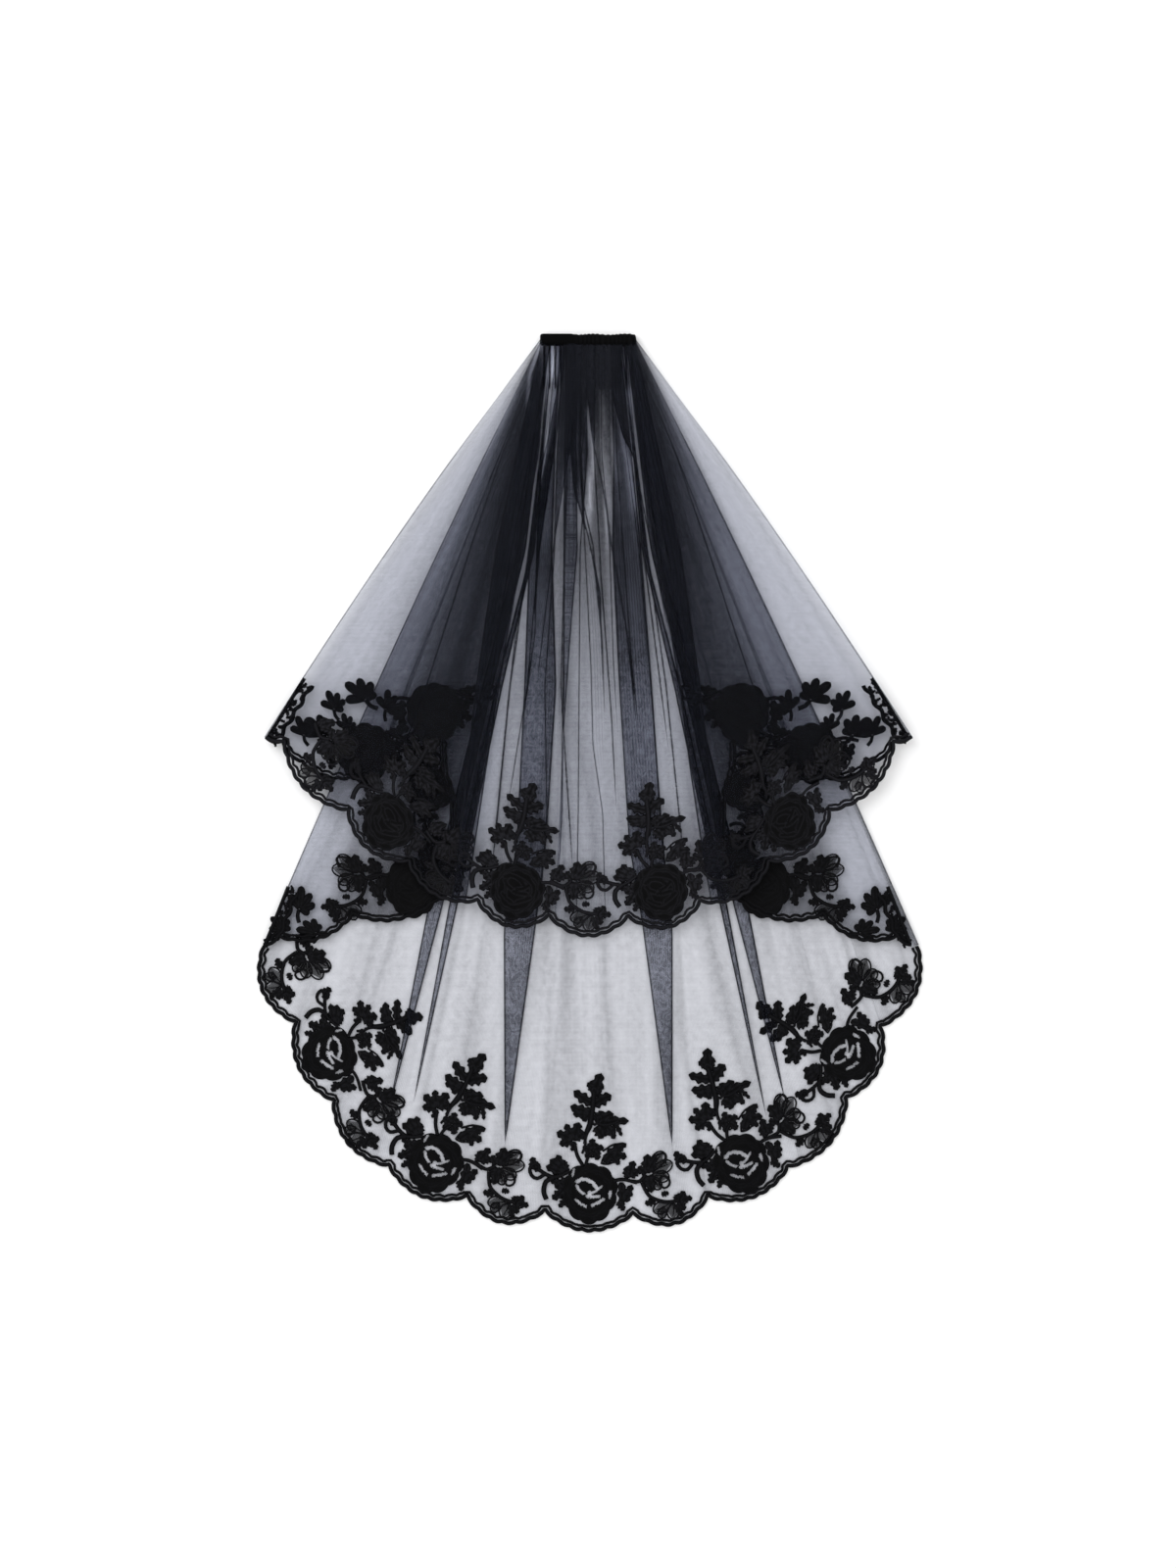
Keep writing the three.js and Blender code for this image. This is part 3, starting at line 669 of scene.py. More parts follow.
# Lace charts: along the hem, and inward from the chord of the scallop, in millimetres
# A row of leaves or outlined petals: foot along, foot inward, tip along, tip inward, width
ROSE_LEAVES = [
    (1, 120, 8, 143, 13), (3, 124, -6, 133, 8), (2, 122, 11, 130, 7), (0, 111, -20, 124, 11),
    (1, 110, 19, 121, 13), (0, 112, 3, 122, 7), (-1, 102, -23, 108, 11), (-3, 102, -20, 100, 9),
    (-2, 103, -10, 93, 8), (3, 93, 22, 102, 12), (10, 92, 38, 95, 10), (8, 88, 25, 82, 14),
    (4, 88, 12, 76, 12), (3, 94, 11, 104, 9), (24, 92, 31, 79, 5), (16, 88, 24, 76, 8),
    (-18, 73, -13, 92, 12), (-18, 75, -36, 81, 11), (-19, 73, -33, 69, 9), (-16, 74, -6, 82, 9),
    (-18, 74, -27, 90, 9), (-17, 72, -20, 62, 6), (2, 64, -9, 67, 10), (2, 64, 1, 76, 9),
    (2, 64, 13, 67, 9), (3, 63, 8, 54, 9), (2, 63, -6, 56, 8), (14, 52, 30, 70, 11), (20, 60, 37, 58, 10),
    (24, 62, 36, 72, 8), (20, 58, 30, 50, 7), (-24, 41, -42, 53, 12), (-25, 40, -46, 46, 10),
    (-25, 41, -35, 58, 10), (-24, 41, -27, 52, 8), (-56, 42, -60, 55, 9), (-24, 33, -36, 24, 11),
    (-27, 23, -38, 12, 10), (-26, 28, -41, 32, 8), (-24, 14, -31, 4, 7), (32, 32, 33, 8, 9),
    (37, 12, 43, 30, 9), (29, 12, 36, 3, 8), (31, 26, 44, 18, 7),
]
ROSE_PETALS = [
    (11, 50, 24, 60, 11),
]
# A row of stems: run (along, inward) and radius
ROSE_STEMS = [
    ([(-5, 48), (-3, 56), (2, 62)], 1.0),
    ([(-8, 48), (-14, 58), (-17, 70)], 1.1),
    ([(-14, 86), (-8, 80), (-6, 70), (-9, 60)], 0.8),
    ([(-5, 82), (-2, 92), (0, 104), (1, 124)], 1.5),
    ([(-7, 70), (-5, 80), (-1, 88), (1, 100)], 0.9),
    ([(-1, 92), (3, 90), (6, 94), (4, 99), (0, 98), (-1, 92)], 0.9),
    ([(4, 92), (12, 90), (22, 92), (27, 95)], 1.0),
    ([(12, 63), (16, 66), (22, 70), (32, 72)], 0.6),
    ([(-21, 42), (-28, 38), (-37, 35), (-46, 38), (-54, 43)], 1.2),
    ([(-37, 35), (-45, 30), (-47, 20), (-44, 12)], 1.5),
    ([(-46, 38), (-54, 33), (-60, 36), (-62, 43), (-58, 48), (-53, 47), (-53, 42), (-57, 41)], 1.1),
    ([(24, 33), (32, 35), (40, 34), (48, 32)], 1.1),
]
# The outline flower is charted in the rose's frame: the middle of its own chord there, and its turn
BLOOM_FRAME = dict(along=83.5, inward=7.5, turn=13.2)
BLOOM_LEAVES = [
    (40, 35, 38, 47, 8), (41, 36, 46, 53, 10), (43, 36, 52, 44, 8), (60, 40, 60, 60, 11),
    (59, 40, 50, 47, 9), (61, 41, 69, 58, 9), (60, 38, 64, 20, 12), (60, 38, 54, 26, 7),
    (74, 18, 82, 20, 6), (92, 12, 98, 22, 8), (93, 12, 106, 15, 8), (92, 12, 98, 2, 8),
    (90, 12, 90, 19, 7), (68, 12, 57, 9, 8), (88, 8, 96, -4, 7),
]
BLOOM_PETALS = [
    (62, 42, 76, 62, 13), (64, 41, 85, 51, 13), (64, 38, 82, 36, 12), (62, 38, 73, 24, 11),
    (84, 10, 66, 1, 12), (86, 10, 86, -7, 12), (76, 6, 74, -6, 9),
]
BLOOM_STEMS = [
    ([(36, 34), (44, 32), (52, 32), (58, 39)], 1.1),
    ([(54, 31), (57, 24), (63, 16), (77, 11), (92, 12)], 1.1),
    ([(76, 38), (82, 34), (82, 28), (77, 25), (72, 29), (73, 35), (76, 38)], 0.7),
    ([(64, 50), (68, 58), (78, 60), (78, 50)], 0.7),
]
LEAF_HEIGHT = 1.0
LEAF_STATIONS = 15
LEAF_FULLNESS = 1.22
NOTCH_DEPTH = 0.42
STEM_FULLNESS = 1.75
# Across a leaf: place, height and painted light tone, a painted highlight on its two ridges and painted
# shade in its groove
LEAF_SECTION = [(-1.0, 0.0, 0.0), (-0.86, 0.75, 0.25), (-0.45, 1.0, 1.0), (0.0, 0.55, 0.0), (0.45, 1.0, 1.0),
                (0.86, 0.75, 0.25), (1.0, 0.0, 0.0)]
# Round an outlined petal: shares of its length and of its width
PETAL_OUTLINE = [(0, 0.05), (0.3, 0.36), (0.62, 0.5), (0.88, 0.34), (1, 0), (0.88, -0.34), (0.62, -0.5),
                 (0.3, -0.36)]


class Chart:
    """A flat lace chart as raised faces; each point holds along, inward, height and a painted light tone
    (painted highlight on ridges, painted shade in grooves).
    """

    def __init__(self):
        self.verts, self.faces, self.uv, self.slots = [], [], [], []

    def grid(self, points, uv, closed=False, slot=0):
        faces = grid_faces(len(points), len(points[0]), closed)
        self.faces.extend(faces + len(self.verts))
        self.slots.extend([slot] * len(faces))
        for row, uv_row in zip(points, uv):
            self.verts.extend(row)
            self.uv.extend(uv_row)

    def leaf(self, foot, tip, width, height=LEAF_HEIGHT, lobes=3, base_up=0.0, slot=0, club=False):
        """A puffed leaf, notched into lobes, or smooth with a round tip where it is a club."""
        foot, tip = np.array(foot, float), np.array(tip, float)
        length = np.linalg.norm(tip - foot)
        along = (tip - foot) / length
        aside = np.array([-along[1], along[0]])
        points, uv = [], []
        for k in range(LEAF_STATIONS):
            t = k / (LEAF_STATIONS - 1)
            body = math.sin(math.pi * min(1.0, 0.1 + 0.9 * t)) ** 0.55
            notch = 1.0 - NOTCH_DEPTH * math.cos(math.pi * lobes * t) ** 2
            if club:
                body = 0.4 + 0.6 * math.sin(0.5 * math.pi * min(1.0, t / 0.7))
                body = body * math.sqrt(max(0.0, 1.0 - max(0.0, (t - 0.7) / 0.3) ** 2))
                notch = 1.0
            half = 0.5 * width * body * notch + 0.05
            middle = foot + along * length * t + aside * 0.05 * width * math.sin(math.pi * t)
            rise = height * (0.55 + 0.45 * math.sin(math.pi * t)) * (0.7 + 0.3 * notch)
            vein = abs(math.sin(math.pi * 2.5 * t)) ** 0.5
            # The fourth value is a painted highlight on the leaf's ridges, broken by the veins
            points.append([(*(middle + aside * half * s), base_up + rise * up, tone * vein)
                           for s, up, tone in LEAF_SECTION])
            uv.append([(length * t * MM, half * s * MM) for s, _, _ in LEAF_SECTION])
        self.grid(points, uv, slot=slot)

    def cord(self, run, radius, closed=False, fine=2.5):
        """A raised half-round cord along a run of points, with a painted highlight along its top."""
        run = np.array(run, float)
        if closed:
            run = smooth_run(np.vstack([run, run[:1]]), fine)[:-1]
            tangent = np.roll(run, -1, axis=0) - np.roll(run, 1, axis=0)
        else:
            run = smooth_run(run, fine)
            tangent = np.gradient(run, axis=0)
        tangent /= np.linalg.norm(tangent, axis=1)[:, None] + 1e-9
        aside = np.stack([-tangent[:, 1], tangent[:, 0]], axis=1)
        along = np.concatenate([[0], np.cumsum(np.linalg.norm(np.diff(run, axis=0), axis=1))])
        points, uv = [], []
        for k, place in enumerate(run):
            row, uv_row = [], []
            for angle in (-90, -45, 0, 45, 90):
                side, up = math.sin(math.radians(angle)), math.cos(math.radians(angle))
                # The fourth value is a painted highlight, strongest on the cord's top
                row.append((*(place + aside[k] * radius * side), radius * up * 1.1, 0.7 * up ** 2))
                uv_row.append((along[k] * MM, radius * math.radians(angle) * MM))
            points.append(row)
            uv.append(uv_row)
        self.grid(points, uv, closed=closed)

    def petal(self, foot, tip, width):
        """An outlined petal: a cord around it, a thin raised fill and a short vein."""
        foot, tip = np.array(foot, float), np.array(tip, float)
        along = tip - foot
        aside = np.array([-along[1], along[0]]) / np.linalg.norm(along)
        outline = [foot + along * t + aside * width * half for t, half in PETAL_OUTLINE]
        self.cord(outline, 0.85, closed=True, fine=2.0)
        self.leaf(foot + along * 0.04, foot + along * 0.98, width * 0.96, height=0.3, lobes=1, slot=1)
        vein = [foot + along * 0.1, foot + along * 0.45 + aside * width * 0.06, foot + along * 0.8]
        self.cord(vein, 0.5)

    def add(self, leaves, petals, stems):
        for foot_a, foot_b, tip_a, tip_b, width in leaves:
            self.leaf((foot_a, foot_b), (tip_a, tip_b), width * LEAF_FULLNESS)
        for foot_a, foot_b, tip_a, tip_b, width in petals:
            self.petal((foot_a, foot_b), (tip_a, tip_b), width)
        for run, radius in stems:
            self.cord(run, radius * STEM_FULLNESS)

    def arrays(self):
        return (np.array(self.verts, float), np.array(self.faces, int), np.array(self.uv, float),
                np.array(self.slots, int))


def smooth_run(run, step):
    """Catmull-Rom through the points, at about the given step."""
    out = []
    count = len(run)
    for k in range(count - 1):
        p0, p1, p2, p3 = run[max(k - 1, 0)], run[k], run[k + 1], run[min(k + 2, count - 1)]
        pieces = max(1, int(np.linalg.norm(p2 - p1) / step))
        for j in range(pieces):
            t = j / pieces
            out.append(0.5 * (2 * p1 + (p2 - p0) * t + (2 * p0 - 5 * p1 + 4 * p2 - p3) * t * t
                              + (3 * p1 - p0 - 3 * p2 + p3) * t ** 3))
    out.append(run[-1])
    return np.array(out)


# Open slits of the rose, from the middle of its scallop's chord: along, inward; and their half width
ROSE_SLITS = [
    ([(-13.5, 31), (-9, 34), (-3, 33.5), (3, 30.5), (6.5, 26)], 1.25),
    ([(-13.5, 27), (-10.5, 22), (-6, 19)], 0.9),
    ([(0, 19.5), (6, 22), (11.5, 27)], 0.9),
    ([(-3, 17), (3, 16.2), (10, 17)], 0.95),
    ([(3, 7.5), (9, 10.5), (14.5, 14)], 0.95),
    ([(-14, 13), (-9, 8.5), (-3, 6)], 0.6),
    ([(20.5, 16), (21, 22)], 0.8),
    ([(-17, 43), (-18, 37)], 0.6),
]
ROSE_TURNS, ROSE_RINGS = 132, 26
ROSE_MIDDLE = (0.0, 20.0)
ROSE_RADIUS = 26.6
ROSE_STRETCH = 1.09
ROSE_LOBES = 10
ROSE_INNER_RING, ROSE_OUTER_RING = 13.0, 20.0
PETAL_LEAN = 1.5
GROOVE_RUN = 3.2
NO_GROOVE = 9.0
# A rose that isn't tall keeps only what ends below these
LOW_LEAVES = 48
LOW_STEMS = 50


def distance_to_run(a, b, run):
    nearest = np.full(a.shape, np.inf)
    for (a0, b0), (a1, b1) in zip(run[:-1], run[1:]):
        step_a, step_b = a1 - a0, b1 - b0
        t = np.clip(((a - a0) * step_a + (b - b0) * step_b) / (step_a ** 2 + step_b ** 2), 0.0, 1.0)
        nearest = np.minimum(nearest, np.hypot(a - a0 - t * step_a, b - b0 - t * step_b))
    return nearest


def rose_disc(pierced):
    """The rose: a lobed disc of puffed petals, pierced by slits at its heart or whole."""
    angle = np.linspace(0.0, 2 * math.pi, ROSE_TURNS, endpoint=False)[:, None]
    share = np.linspace(0.0, 1.0, ROSE_RINGS)[None, :] ** 0.8
    lobe = np.abs(np.sin(ROSE_LOBES / 2 * angle)) ** 0.7
    reach = ROSE_RADIUS + 2.4 * lobe + 0.8 * np.sin(3 * angle)
    radius = 0.15 + (reach - 0.15) * share
    a = ROSE_MIDDLE[0] + radius * np.cos(angle)
    b = ROSE_MIDDLE[1] + radius * np.sin(angle) * ROSE_STRETCH
    lean = angle + PETAL_LEAN * (ROSE_RADIUS - radius) / ROSE_RADIUS
    step = 2 * math.pi / ROSE_LOBES
    off = np.abs((lean + step / 2) % step - step / 2) * radius
    inner_ring = ROSE_INNER_RING + 1.2 * np.sin(3 * angle + 1.0)
    outer_ring = ROSE_OUTER_RING + 1.3 * np.abs(np.sin(ROSE_LOBES / 2 * lean + 0.8))
    groove = np.where(radius < outer_ring, NO_GROOVE, off)
    groove = np.minimum(groove, np.minimum(np.abs(radius - inner_ring), np.abs(radius - outer_ring)))
    open_slit = np.zeros(a.shape, bool)
    for run, half in ROSE_SLITS:
        gap = distance_to_run(a, b, run)
        groove = np.minimum(groove, np.maximum(gap - half, 0.0))
        open_slit |= pierced & (gap < half)
    rim = reach - radius
    puff = np.sqrt(np.clip(groove / GROOVE_RUN, 0.0, 1.0))
    height = (0.5 + 0.7 * puff) * np.sqrt(np.clip(rim / 1.5, 0.0, 1.0))
    # Painted highlight: a lighter band beside each groove and the rim, which stay painted dark
    tone = 0.6 * np.clip(1.0 - np.abs(np.minimum(groove, rim) - 1.2) / 1.4, 0.0, 1.0)
    verts = np.stack([a, b, height, tone], axis=-1).reshape(-1, 4)
    uv = np.stack([radius * MM, off * MM], axis=-1).reshape(-1, 2)
    faces = grid_faces(ROSE_TURNS, ROSE_RINGS, closed=True)
    faces = faces[~open_slit.reshape(-1)[faces].any(axis=1)]
    return verts, faces, uv, np.zeros(len(faces), int)


def rose_chart(tall=True, pierced=True):
    """A rose with its leaves: a tall one has the whole spray, a pierced one has open slits."""
    def kept(rows):
        return [row for row in rows if tall or row[3] < LOW_LEAVES]

    stems = [stem for stem in ROSE_STEMS if tall or max(inward for _, inward in stem[0]) < LOW_STEMS]
    chart = Chart()
    chart.add(kept(ROSE_LEAVES), kept(ROSE_PETALS), stems)
    verts, faces, uv, slots = chart.arrays()
    disc = rose_disc(pierced)
    spray = (verts, faces + len(disc[0]), uv, slots)
    return [np.concatenate(pair) for pair in zip(disc, spray)]


def bloom_chart():
    chart = Chart()
    chart.add(BLOOM_LEAVES, BLOOM_PETALS, BLOOM_STEMS)
    verts, faces, uv, slots = chart.arrays()
    turn = math.radians(BLOOM_FRAME["turn"])
    a, b = verts[:, 0] - BLOOM_FRAME["along"], verts[:, 1] - BLOOM_FRAME["inward"]
    verts[:, 0] = a * math.cos(turn) + b * math.sin(turn)
    verts[:, 1] = -a * math.sin(turn) + b * math.cos(turn)
    return verts, faces, uv, slots


# Petals of a leafy cluster: angle, length and width
CLUSTER_PETALS = [(30, 16, 7.5), (70, 21, 7.5), (102, 18, 7), (138, 15, 7), (178, 10, 6)]


def cluster_chart():
    """A leafy cluster: petals fanned around one foot."""
    chart = Chart()
    for k, (angle, length, width) in enumerate(CLUSTER_PETALS):
        ray = np.array([math.cos(math.radians(angle)), math.sin(math.radians(angle))])
        chart.leaf(ray * 0.5, ray * length, width, base_up=0.15 * (k % 2), club=True)
    chart.cord([(0, 0), (-1, -6), (-5, -11)], 1.8)
    return chart.arrays()


# Strength of the painted highlight on the thread's ridges, on each layer
PAINTED_RIDGE_LIGHT = {"lower_face": 0.35, "lower_fold": 0.3, "upper_back": 0.1, "upper_face": 0.65}
LACE_LIFT = 0.15
CORD_LIFT = 0.1
SPRAY_START = 20.0
# The cords of a hem: place inward from it, radius, and how far the cord waves
HEM_CORDS = [(1.0, 2.0, 0.0), (5.2, 1.35, 0.5)]


class Lace:
    """Lays charts on one layer and joins them into one piece."""

    def __init__(self, layer):
        self.layer = layer
        self.verts, self.faces, self.uv, self.slots, self.relief, self.count = [], [], [], [], [], 0

    def lay(self, chart, start, end, size=1.0, mirror=False, turn=0.0, reach=1.0):
        """Lays a chart on a chord; its spray is turned by some degrees and drawn out by reach."""
        along_chart, inward_chart = chart[0][:, 0] * size, chart[0][:, 1] * size
        start, end = np.array(start, float), np.array(end, float)
        along = (end - start) / np.linalg.norm(end - start)
        inward = np.array([along[1], -along[0]])
        middle = 0.5 * (start + end)
        above = np.maximum(inward_chart - SPRAY_START, 0.0)
        lean = math.radians(turn)
        a = along_chart + above * math.sin(lean) * reach
        b = np.minimum(inward_chart, SPRAY_START) + above * math.cos(lean) * reach
        a = -a if mirror else a
        x = middle[0] + along[0] * a + inward[0] * b
        down = middle[1] + along[1] * a + inward[1] * b
        self.put(x, down, chart, LACE_LIFT, mirror)

    def put(self, x, down, chart, lift, mirror=False):
        verts, faces, uv, slots = chart
        z = layer_height(self.layer, x, down) + lift + verts[:, 2]
        self.verts.append(np.stack([x, -down, z], axis=1) * MM)
        self.faces.append((faces[:, ::-1] if mirror else faces) + self.count)
        self.uv.append(uv)
        self.slots.append(slots)
        self.relief.append(verts[:, 3])
        self.count += len(x)

    def edge(self, hem):
        """The hem's double cord; the inner one is thinner and waves with the ripples."""
        s = np.arange(0.0, hem.length, HEM_STEP)
        x, down = hem.at(s)
        base_x, base_down = np.gradient(x), np.gradient(down)
        size = np.hypot(base_x, base_down)
        inward = np.stack([base_down / size, -base_x / size], axis=1)
        for offset, radius, sway in HEM_CORDS:
            wave = sway * np.sin(s * 2 * math.pi / RIPPLE_LENGTH)
            centre = np.stack([x, down], axis=1) + inward * (offset + wave)[:, None]
            chart = Chart()
            chart.cord(centre, radius, fine=99.0)
            cord = chart.arrays()
            self.put(cord[0][:, 0], cord[0][:, 1], cord, CORD_LIFT)

    def finish(self, name, material):
        faces = np.concatenate(self.faces)
        used = np.unique(faces)
        place = np.full(self.count, -1)
        place[used] = np.arange(len(used))
        verts = np.concatenate(self.verts)[used]
        uv = np.concatenate(self.uv)[used]
        piece = mesh_object(name, verts, place[faces], material[0], uv)
        # The painted ridge highlight and groove shade go on each point, scaled for the layer
        attribute = piece.data.attributes.new("relief", "FLOAT", "POINT")
        painted_ridge_tones = np.concatenate(self.relief)[used] * PAINTED_RIDGE_LIGHT[self.layer]
        attribute.data.foreach_set("value", painted_ridge_tones.astype(np.float32))
        piece.data.materials.append(material[1])
        piece.data.polygons.foreach_set("material_index", np.concatenate(self.slots).astype(np.int32))
        return piece


# Camera straight above the veil, its top edge away from the hem
camera = bpy.data.objects.new("camera", bpy.data.cameras.new("camera"))
scene.collection.objects.link(camera)
camera.location = (0.0, -0.454, 3.21)
camera.data.sensor_fit = "VERTICAL"
camera.data.sensor_height = 24.0
camera.data.lens = 48.0
scene.camera = camera

# Soft studio: bright even surroundings and one broad lamp from the upper left
world = bpy.data.worlds.new("studio")
world.use_nodes = True
world.node_tree.nodes["Background"].inputs["Color"].default_value = (1.0, 1.0, 1.0, 1)
world.node_tree.nodes["Background"].inputs["Strength"].default_value = 1.0
scene.world = world
lamp_data = bpy.data.lights.new("broad_lamp", "AREA")
lamp_data.shape = "DISK"
lamp_data.size = 1.6
lamp_data.energy = 16.0
lamp = bpy.data.objects.new("broad_lamp", lamp_data)
lamp.location = (-0.9, 0.5, 1.7)
lamp.rotation_euler = (math.radians(-22), math.radians(-27), 0)
scene.collection.objects.link(lamp)
scene.view_settings.view_transform = "Standard"

FLOOR_REACH = 30.0
FLOOR_HEIGHT = -0.0006
corner_signs = [(-1, -1), (1, -1), (1, 1), (-1, 1)]
floor_corners = [(FLOOR_REACH * a, FLOOR_REACH * b, FLOOR_HEIGHT) for a, b in corner_signs]
floor = mesh_object("floor", floor_corners, [(0, 1, 2, 3)], stage_material(), smooth_shade=False)

# The two tiers of net
tulle = tulle_material()
lower_columns = tier("lower_face", LOWER_FACE_CUSPS, LOWER_PLEATS, LOWER_HAIRLINES,
                     "lower_fold", LOWER_FOLD_CUSPS, fold_on_top=True)
upper_columns = tier("upper_face", UPPER_FACE_CUSPS, UPPER_PLEATS, UPPER_HAIRLINES,
                     "upper_back", UPPER_BACK_CUSPS, fold_on_top=False)
lower_net = cloth_object("tulle_lower", lower_columns, tulle)
upper_net = cloth_object("tulle_upper", upper_columns, tulle)


def surface_area(piece):
    return sum(face.area for face in piece.data.polygons)


# Lace
lace_thread = thread_material("lace_thread", (0.004, 0.004, 0.005), 0.55, 260.0, 0.0004, 0.008, 0.05)
lace_fill = fill_material()
ROSE = rose_chart()
WHOLE_ROSE = rose_chart(pierced=False)
BORDER_ROSE = rose_chart(tall=False, pierced=False)
BLOOM = bloom_chart()
CLUSTER = cluster_chart()
dice = np.random.default_rng(7)

# Lace of the left side's folded parts, which the right side mirrors. A place holds its chart, the middle of
# its chord (x, down), its turn in degrees and its size. A dense strip of leaves runs along the outer corner
FOLD_LACE = {
    "lower_fold": dict(cusps=LOWER_FOLD_CUSPS, strip=[(-308, 558), (-331, 616)], places=[
        (BORDER_ROSE, -178, 579, 4, 1.0), (BLOOM, -250, 582, 0, 1.0),
        (CLUSTER, -295, 582, -25, 1.15), (CLUSTER, -278, 606, 60, 1.0), (CLUSTER, -312, 604, 20, 0.9),
        (CLUSTER, -205, 560, 0, 0.7)]),
    "upper_back": dict(cusps=UPPER_BACK_CUSPS, strip=[(-291, 345), (-328, 405)], places=[
        (BORDER_ROSE, -228, 442, 0, 1.0), (BORDER_ROSE, -157, 401, 0, 1.0),
        (BORDER_ROSE, -146, 462, 82, 0.8), (BORDER_ROSE, -138, 528, 86, 0.7),
        (CLUSTER, -259, 378, 0, 1.0), (CLUSTER, -227, 368, 30, 1.3), (CLUSTER, -206, 378, -25, 1.0),
        (CLUSTER, -270, 404, 25, 1.2), (CLUSTER, -290, 404, 0, 1.0), (CLUSTER, -247, 398, -10, 0.8)]),
}
STRIP_STEP = 2.4
STRIP_NEAR, STRIP_FAR = 0.5, 13.0


def face_lace(layer, rose, cusps, rose_scallops, bloom_scallops):
    """Lace of an open face; a rose row holds its scallop, its spray's lean and how far that reaches."""
    lace = Lace(layer)
    for k, turn, reach in rose_scallops:
        lace.lay(rose, cusps[k][:2], cusps[k + 1][:2], turn=turn, reach=reach)
    for k in bloom_scallops:
        lace.lay(BLOOM, cusps[k][:2], cusps[k + 1][:2])
    lace.edge(Hem(cusps))
    return lace


def strip_chart(span):
    """Small leaves at random between a straight cord and a wavy one."""
    chart = Chart()
    chart.cord([(t, 1.0) for t in np.arange(0.0, span, 2.0)], 2.0)
    chart.cord([(t, 11.0 + 1.5 * math.sin(t * 0.33)) for t in np.arange(2.0, span - 6, 2.0)], 2.2)
    for k in range(int(span / STRIP_STEP)):
        angle = dice.uniform(0, 2 * math.pi)
        reach = dice.uniform(5.0, 8.0)
        foot = (STRIP_STEP * k + 3, dice.uniform(2.0, 10.0))
        tip = (foot[0] + reach * math.cos(angle),
               min(STRIP_FAR, max(STRIP_NEAR, foot[1] + reach * math.sin(angle))))
        chart.leaf(foot, tip, dice.uniform(3.5, 5.5), height=0.8)
    return chart.arrays()


def fold_lace(layer, side):
    """Lace of a folded part, wrong side up, on the left (-1) or the right (1)."""
    lace = Lace(layer)
    plan = FOLD_LACE[layer]
    for chart, x, down, angle, size in plan["places"]:
        along = np.array([math.cos(math.radians(angle)), side * math.sin(math.radians(angle))])
        middle = np.array([-side * x, down], float)
        lace.lay(chart, middle - along, middle + along, size=size, mirror=side < 0)
    (x0, down0), (x1, down1) = plan["strip"]
    span = math.hypot(x1 - x0, down1 - down0)
    along_x, along_down = (x1 - x0) / span, (down1 - down0) / span
    strip = strip_chart(span)
    run, inward = strip[0][:, 0], strip[0][:, 1] + 1.0
    x = x0 + along_x * run + abs(along_down) * inward
    down = down0 + along_down * run + abs(along_x) * inward
    lace.put(-side * x, down, strip, LACE_LIFT)
    hem = Hem(plan["cusps"])
    if side > 0:
        hem.x, hem.down = -hem.x[::-1], hem.down[::-1]
    lace.edge(hem)
    return lace


LOWER_ROSES = [(1, 0, 0.82), (3, 0, 1.0), (5, 0, 1.0), (7, 0, 1.0), (9, 0, 0.86)]
UPPER_ROSES = [(2, -14, 0.8), (4, -7, 0.9), (6, 3, 0.9), (8, 14, 0.8)]
SIDES = {"left": -1, "right": 1}
FOLDS = ("lower_fold", "upper_back")
laces = {
    "lace_lower_face": face_lace("lower_face", ROSE, LOWER_FACE_CUSPS, LOWER_ROSES, (0, 2, 4, 6, 8, 10)),
    "lace_upper_face": face_lace("upper_face", WHOLE_ROSE, UPPER_FACE_CUSPS, UPPER_ROSES, (1, 3, 5, 7, 9)),
}
for word, side in SIDES.items():
    for fold in FOLDS:
        laces[f"lace_{fold}_{word}"] = fold_lace(fold, side)
lace_objects = {name: lace.finish(name, (lace_thread, lace_fill)) for name, lace in laces.items()}


# Comb: a rounded spine and tapering round teeth
SPINE_HALF = 46.4
SPINE_STATIONS = 24
TOOTH_COUNT = 17
TOOTH_PITCH = 5.6
TOOTH_LENGTH = 48.3
TOOTH_STATIONS = 14
TIP_START = 0.94


def loft(stations):
    """A closed solid through rings of points."""
    verts = [point for ring in stations for point in ring]
    count = len(stations[0])
    faces = []
    for s in range(len(stations) - 1):
        for k in range(count):
            a, b = s * count + k, s * count + (k + 1) % count
            faces.append((a, b, b + count, a + count))
    faces.append(tuple(range(count))[::-1])
    faces.append(tuple(range((len(stations) - 1) * count, len(stations) * count)))
    return verts, faces


def ring(centre, axis_a, axis_b, radius_a, radius_b, count, power=1.0):
    points = []
    for k in range(count):
        angle = 2 * math.pi * k / count
        c, s = math.cos(angle), math.sin(angle)
        a = math.copysign(abs(c) ** power, c) * radius_a
        b = math.copysign(abs(s) ** power, s) * radius_b
        points.append(tuple(np.array(centre) + np.array(axis_a) * a + np.array(axis_b) * b))
    return points


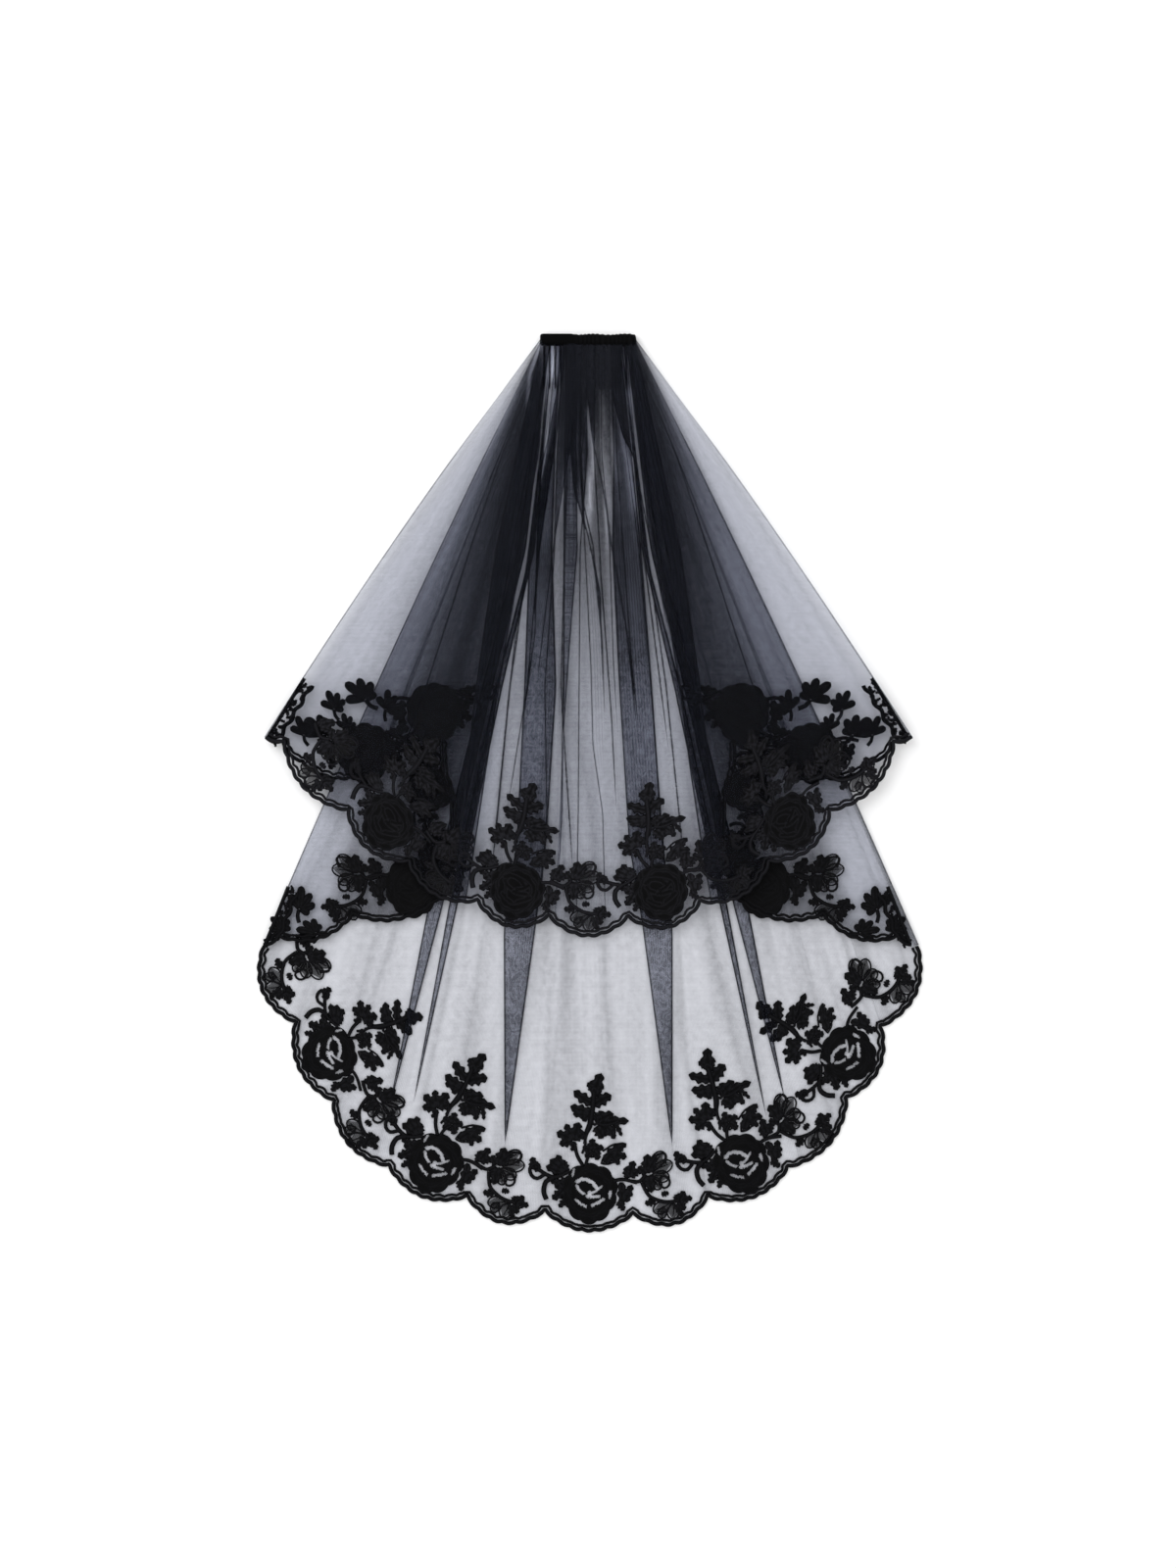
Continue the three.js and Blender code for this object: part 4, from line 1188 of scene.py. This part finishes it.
def comb_piece(material):
    verts, faces = [], []

    def take(part):
        base = len(verts)
        verts.extend(part[0])
        faces.extend(tuple(base + i for i in face) for face in part[1])

    spine = []
    for x in np.linspace(-SPINE_HALF, SPINE_HALF, SPINE_STATIONS):
        shrink = 1.0 - 0.35 * smooth((abs(x) - 44.6) / 1.8)
        spine.append(ring((x, -0.7, 3.1), (0, 1, 0), (0, 0, 1), 3.2 * shrink, 1.5 * shrink, 20, 0.6))
    take(loft(spine))
    for k in range(TOOTH_COUNT):
        x = (k - TOOTH_COUNT // 2) * TOOTH_PITCH
        stations = []
        for t in np.linspace(0.0, 1.0, TOOTH_STATIONS):
            y = -1.5 - TOOTH_LENGTH * t
            z = 3.0 - 1.6 * t - 0.5 * t * t
            shrink = math.sqrt(max(0.0, 1.0 - ((t - TIP_START) / 0.065) ** 2)) if t > TIP_START else 1.0
            width = (1.15 - 0.4 * t) * shrink + 0.02
            thick = 0.78 * (1 - 0.2 * t) * shrink + 0.02
            stations.append(ring((x, y, z), (1, 0, 0), (0, 0, 1), width, thick, 10))
        take(loft(stations))
    scaled = [tuple(np.array(v) * MM) for v in verts]
    return mesh_object("comb_moulding", scaled, faces, material)


comb = comb_piece(plastic_material())


# Binding band: a ribbon folded over the spine, smooth at the left third and gathered beyond
BAND_HALF = 49.0
BAND_STATIONS = 240
BAND_RUN = 0.038
# The ribbon's section (y, z), from under the net, round the spine and back over the net
BAND_SECTION = [
    (-5.6, 0.35), (-3.5, 0.15), (0.0, 0.1), (3.2, 0.2), (5.0, 1.0), (5.8, 2.6), (6.0, 5.0), (5.9, 8.0),
    (5.3, 10.2), (3.8, 11.5), (1.5, 12.0), (-1.5, 12.0), (-3.8, 11.5), (-5.2, 10.4), (-5.9, 9.4),
]


def band_piece(material):
    verts, uv, relief = [], [], []
    for s in range(BAND_STATIONS):
        t = s / (BAND_STATIONS - 1)
        x = -BAND_HALF + 2.0 * BAND_HALF * t
        gathered = float(smooth((t - 0.3) / 0.12))
        ripple = math.sin(x * 1.35 + 1.3 * math.sin(x * 0.21)) * 0.55 + math.sin(x * 2.9 + 2.0) * 0.25
        round_end = math.sqrt(max(0.0, 1.0 - (max(0.0, abs(x) - 45.6) / 3.45) ** 2))
        pinch = 0.55 + 0.45 * round_end
        squat = 0.62 + 0.38 * round_end
        for k, (y, z) in enumerate(BAND_SECTION):
            run = k / (len(BAND_SECTION) - 1)
            swell = gathered * ripple * (0.35 + 0.65 * math.sin(math.pi * run)) * 0.5
            lean = gathered * 0.5 * math.sin(2.2 * z + 0.4 * x)
            lumps = gathered * 0.5 * math.sin(x * 0.19 + 0.6) - 0.35 * gathered
            yy = y * squat * (1.0 + swell * 0.2 - 0.04 * gathered) + lumps * (1.0 if y > 0 else -0.3)
            if y < -3.0:
                yy -= gathered * 0.9 * (0.5 + 0.5 * math.sin(x * 1.1 + 0.7 * math.sin(x * 0.3)))
            zz = max(0.1, z * pinch * (1.0 + swell * 0.045))
            verts.append(((x + lean * 0.4) * MM, yy * MM, zz * MM))
            uv.append((x * MM, run * BAND_RUN))
            # Painted highlight on the gathered ripples, in the attribute that lightens the thread material
            relief.append(0.2 * gathered * (0.4 + 0.8 * ripple))
    faces = grid_faces(BAND_STATIONS, len(BAND_SECTION))[:, [0, 3, 2, 1]]
    return mesh_object("band_ribbon", verts, faces, material, uv, {"relief": relief})


ribbon = thread_material("band_ribbon", (0.0035, 0.0035, 0.004), 0.6, 420.0, 0.0002, 0.0, 0.03)
band = band_piece(ribbon)

# What each piece stands for, and what it rides on
LOWER_SPRAYS = ["lace_spray_lower_1", "lace_spray_lower_2", "lace_spray_lower_centre", "lace_spray_lower_3",
                "lace_spray_lower_4"]
UPPER_SPRAYS = [f"lace_spray_upper_{k}" for k in (1, 2, 3, 4)]
STANDS_FOR = [
    (comb, ["comb"], "comb_plastic"),
    (band, ["binding_band"], "binding_fabric"),
    (lower_net, ["tulle_lower_tier"], "tulle"),
    (upper_net, ["tulle_upper_tier"], "tulle"),
    (lace_objects["lace_lower_face"], ["edge_cord_lower_face"] + LOWER_SPRAYS, "lace"),
    (lace_objects["lace_upper_face"], ["edge_cord_upper_face"] + UPPER_SPRAYS, "lace"),
]
for word in SIDES:
    for fold in FOLDS:
        nodes_for = [f"edge_cord_{fold}_{word}", f"lace_spray_{fold}_{word}"]
        STANDS_FOR.append((lace_objects[f"lace_{fold}_{word}"], nodes_for, "lace"))
for piece, nodes_for, slot in STANDS_FOR:
    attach(piece, "root")
    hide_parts(*nodes_for)

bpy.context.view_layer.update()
for piece in (lower_net, upper_net, comb, band, *lace_objects.values()):
    print(piece.name, sum(len(face.vertices) - 2 for face in piece.data.polygons), "triangles",
          round(surface_area(piece), 4), "m2")
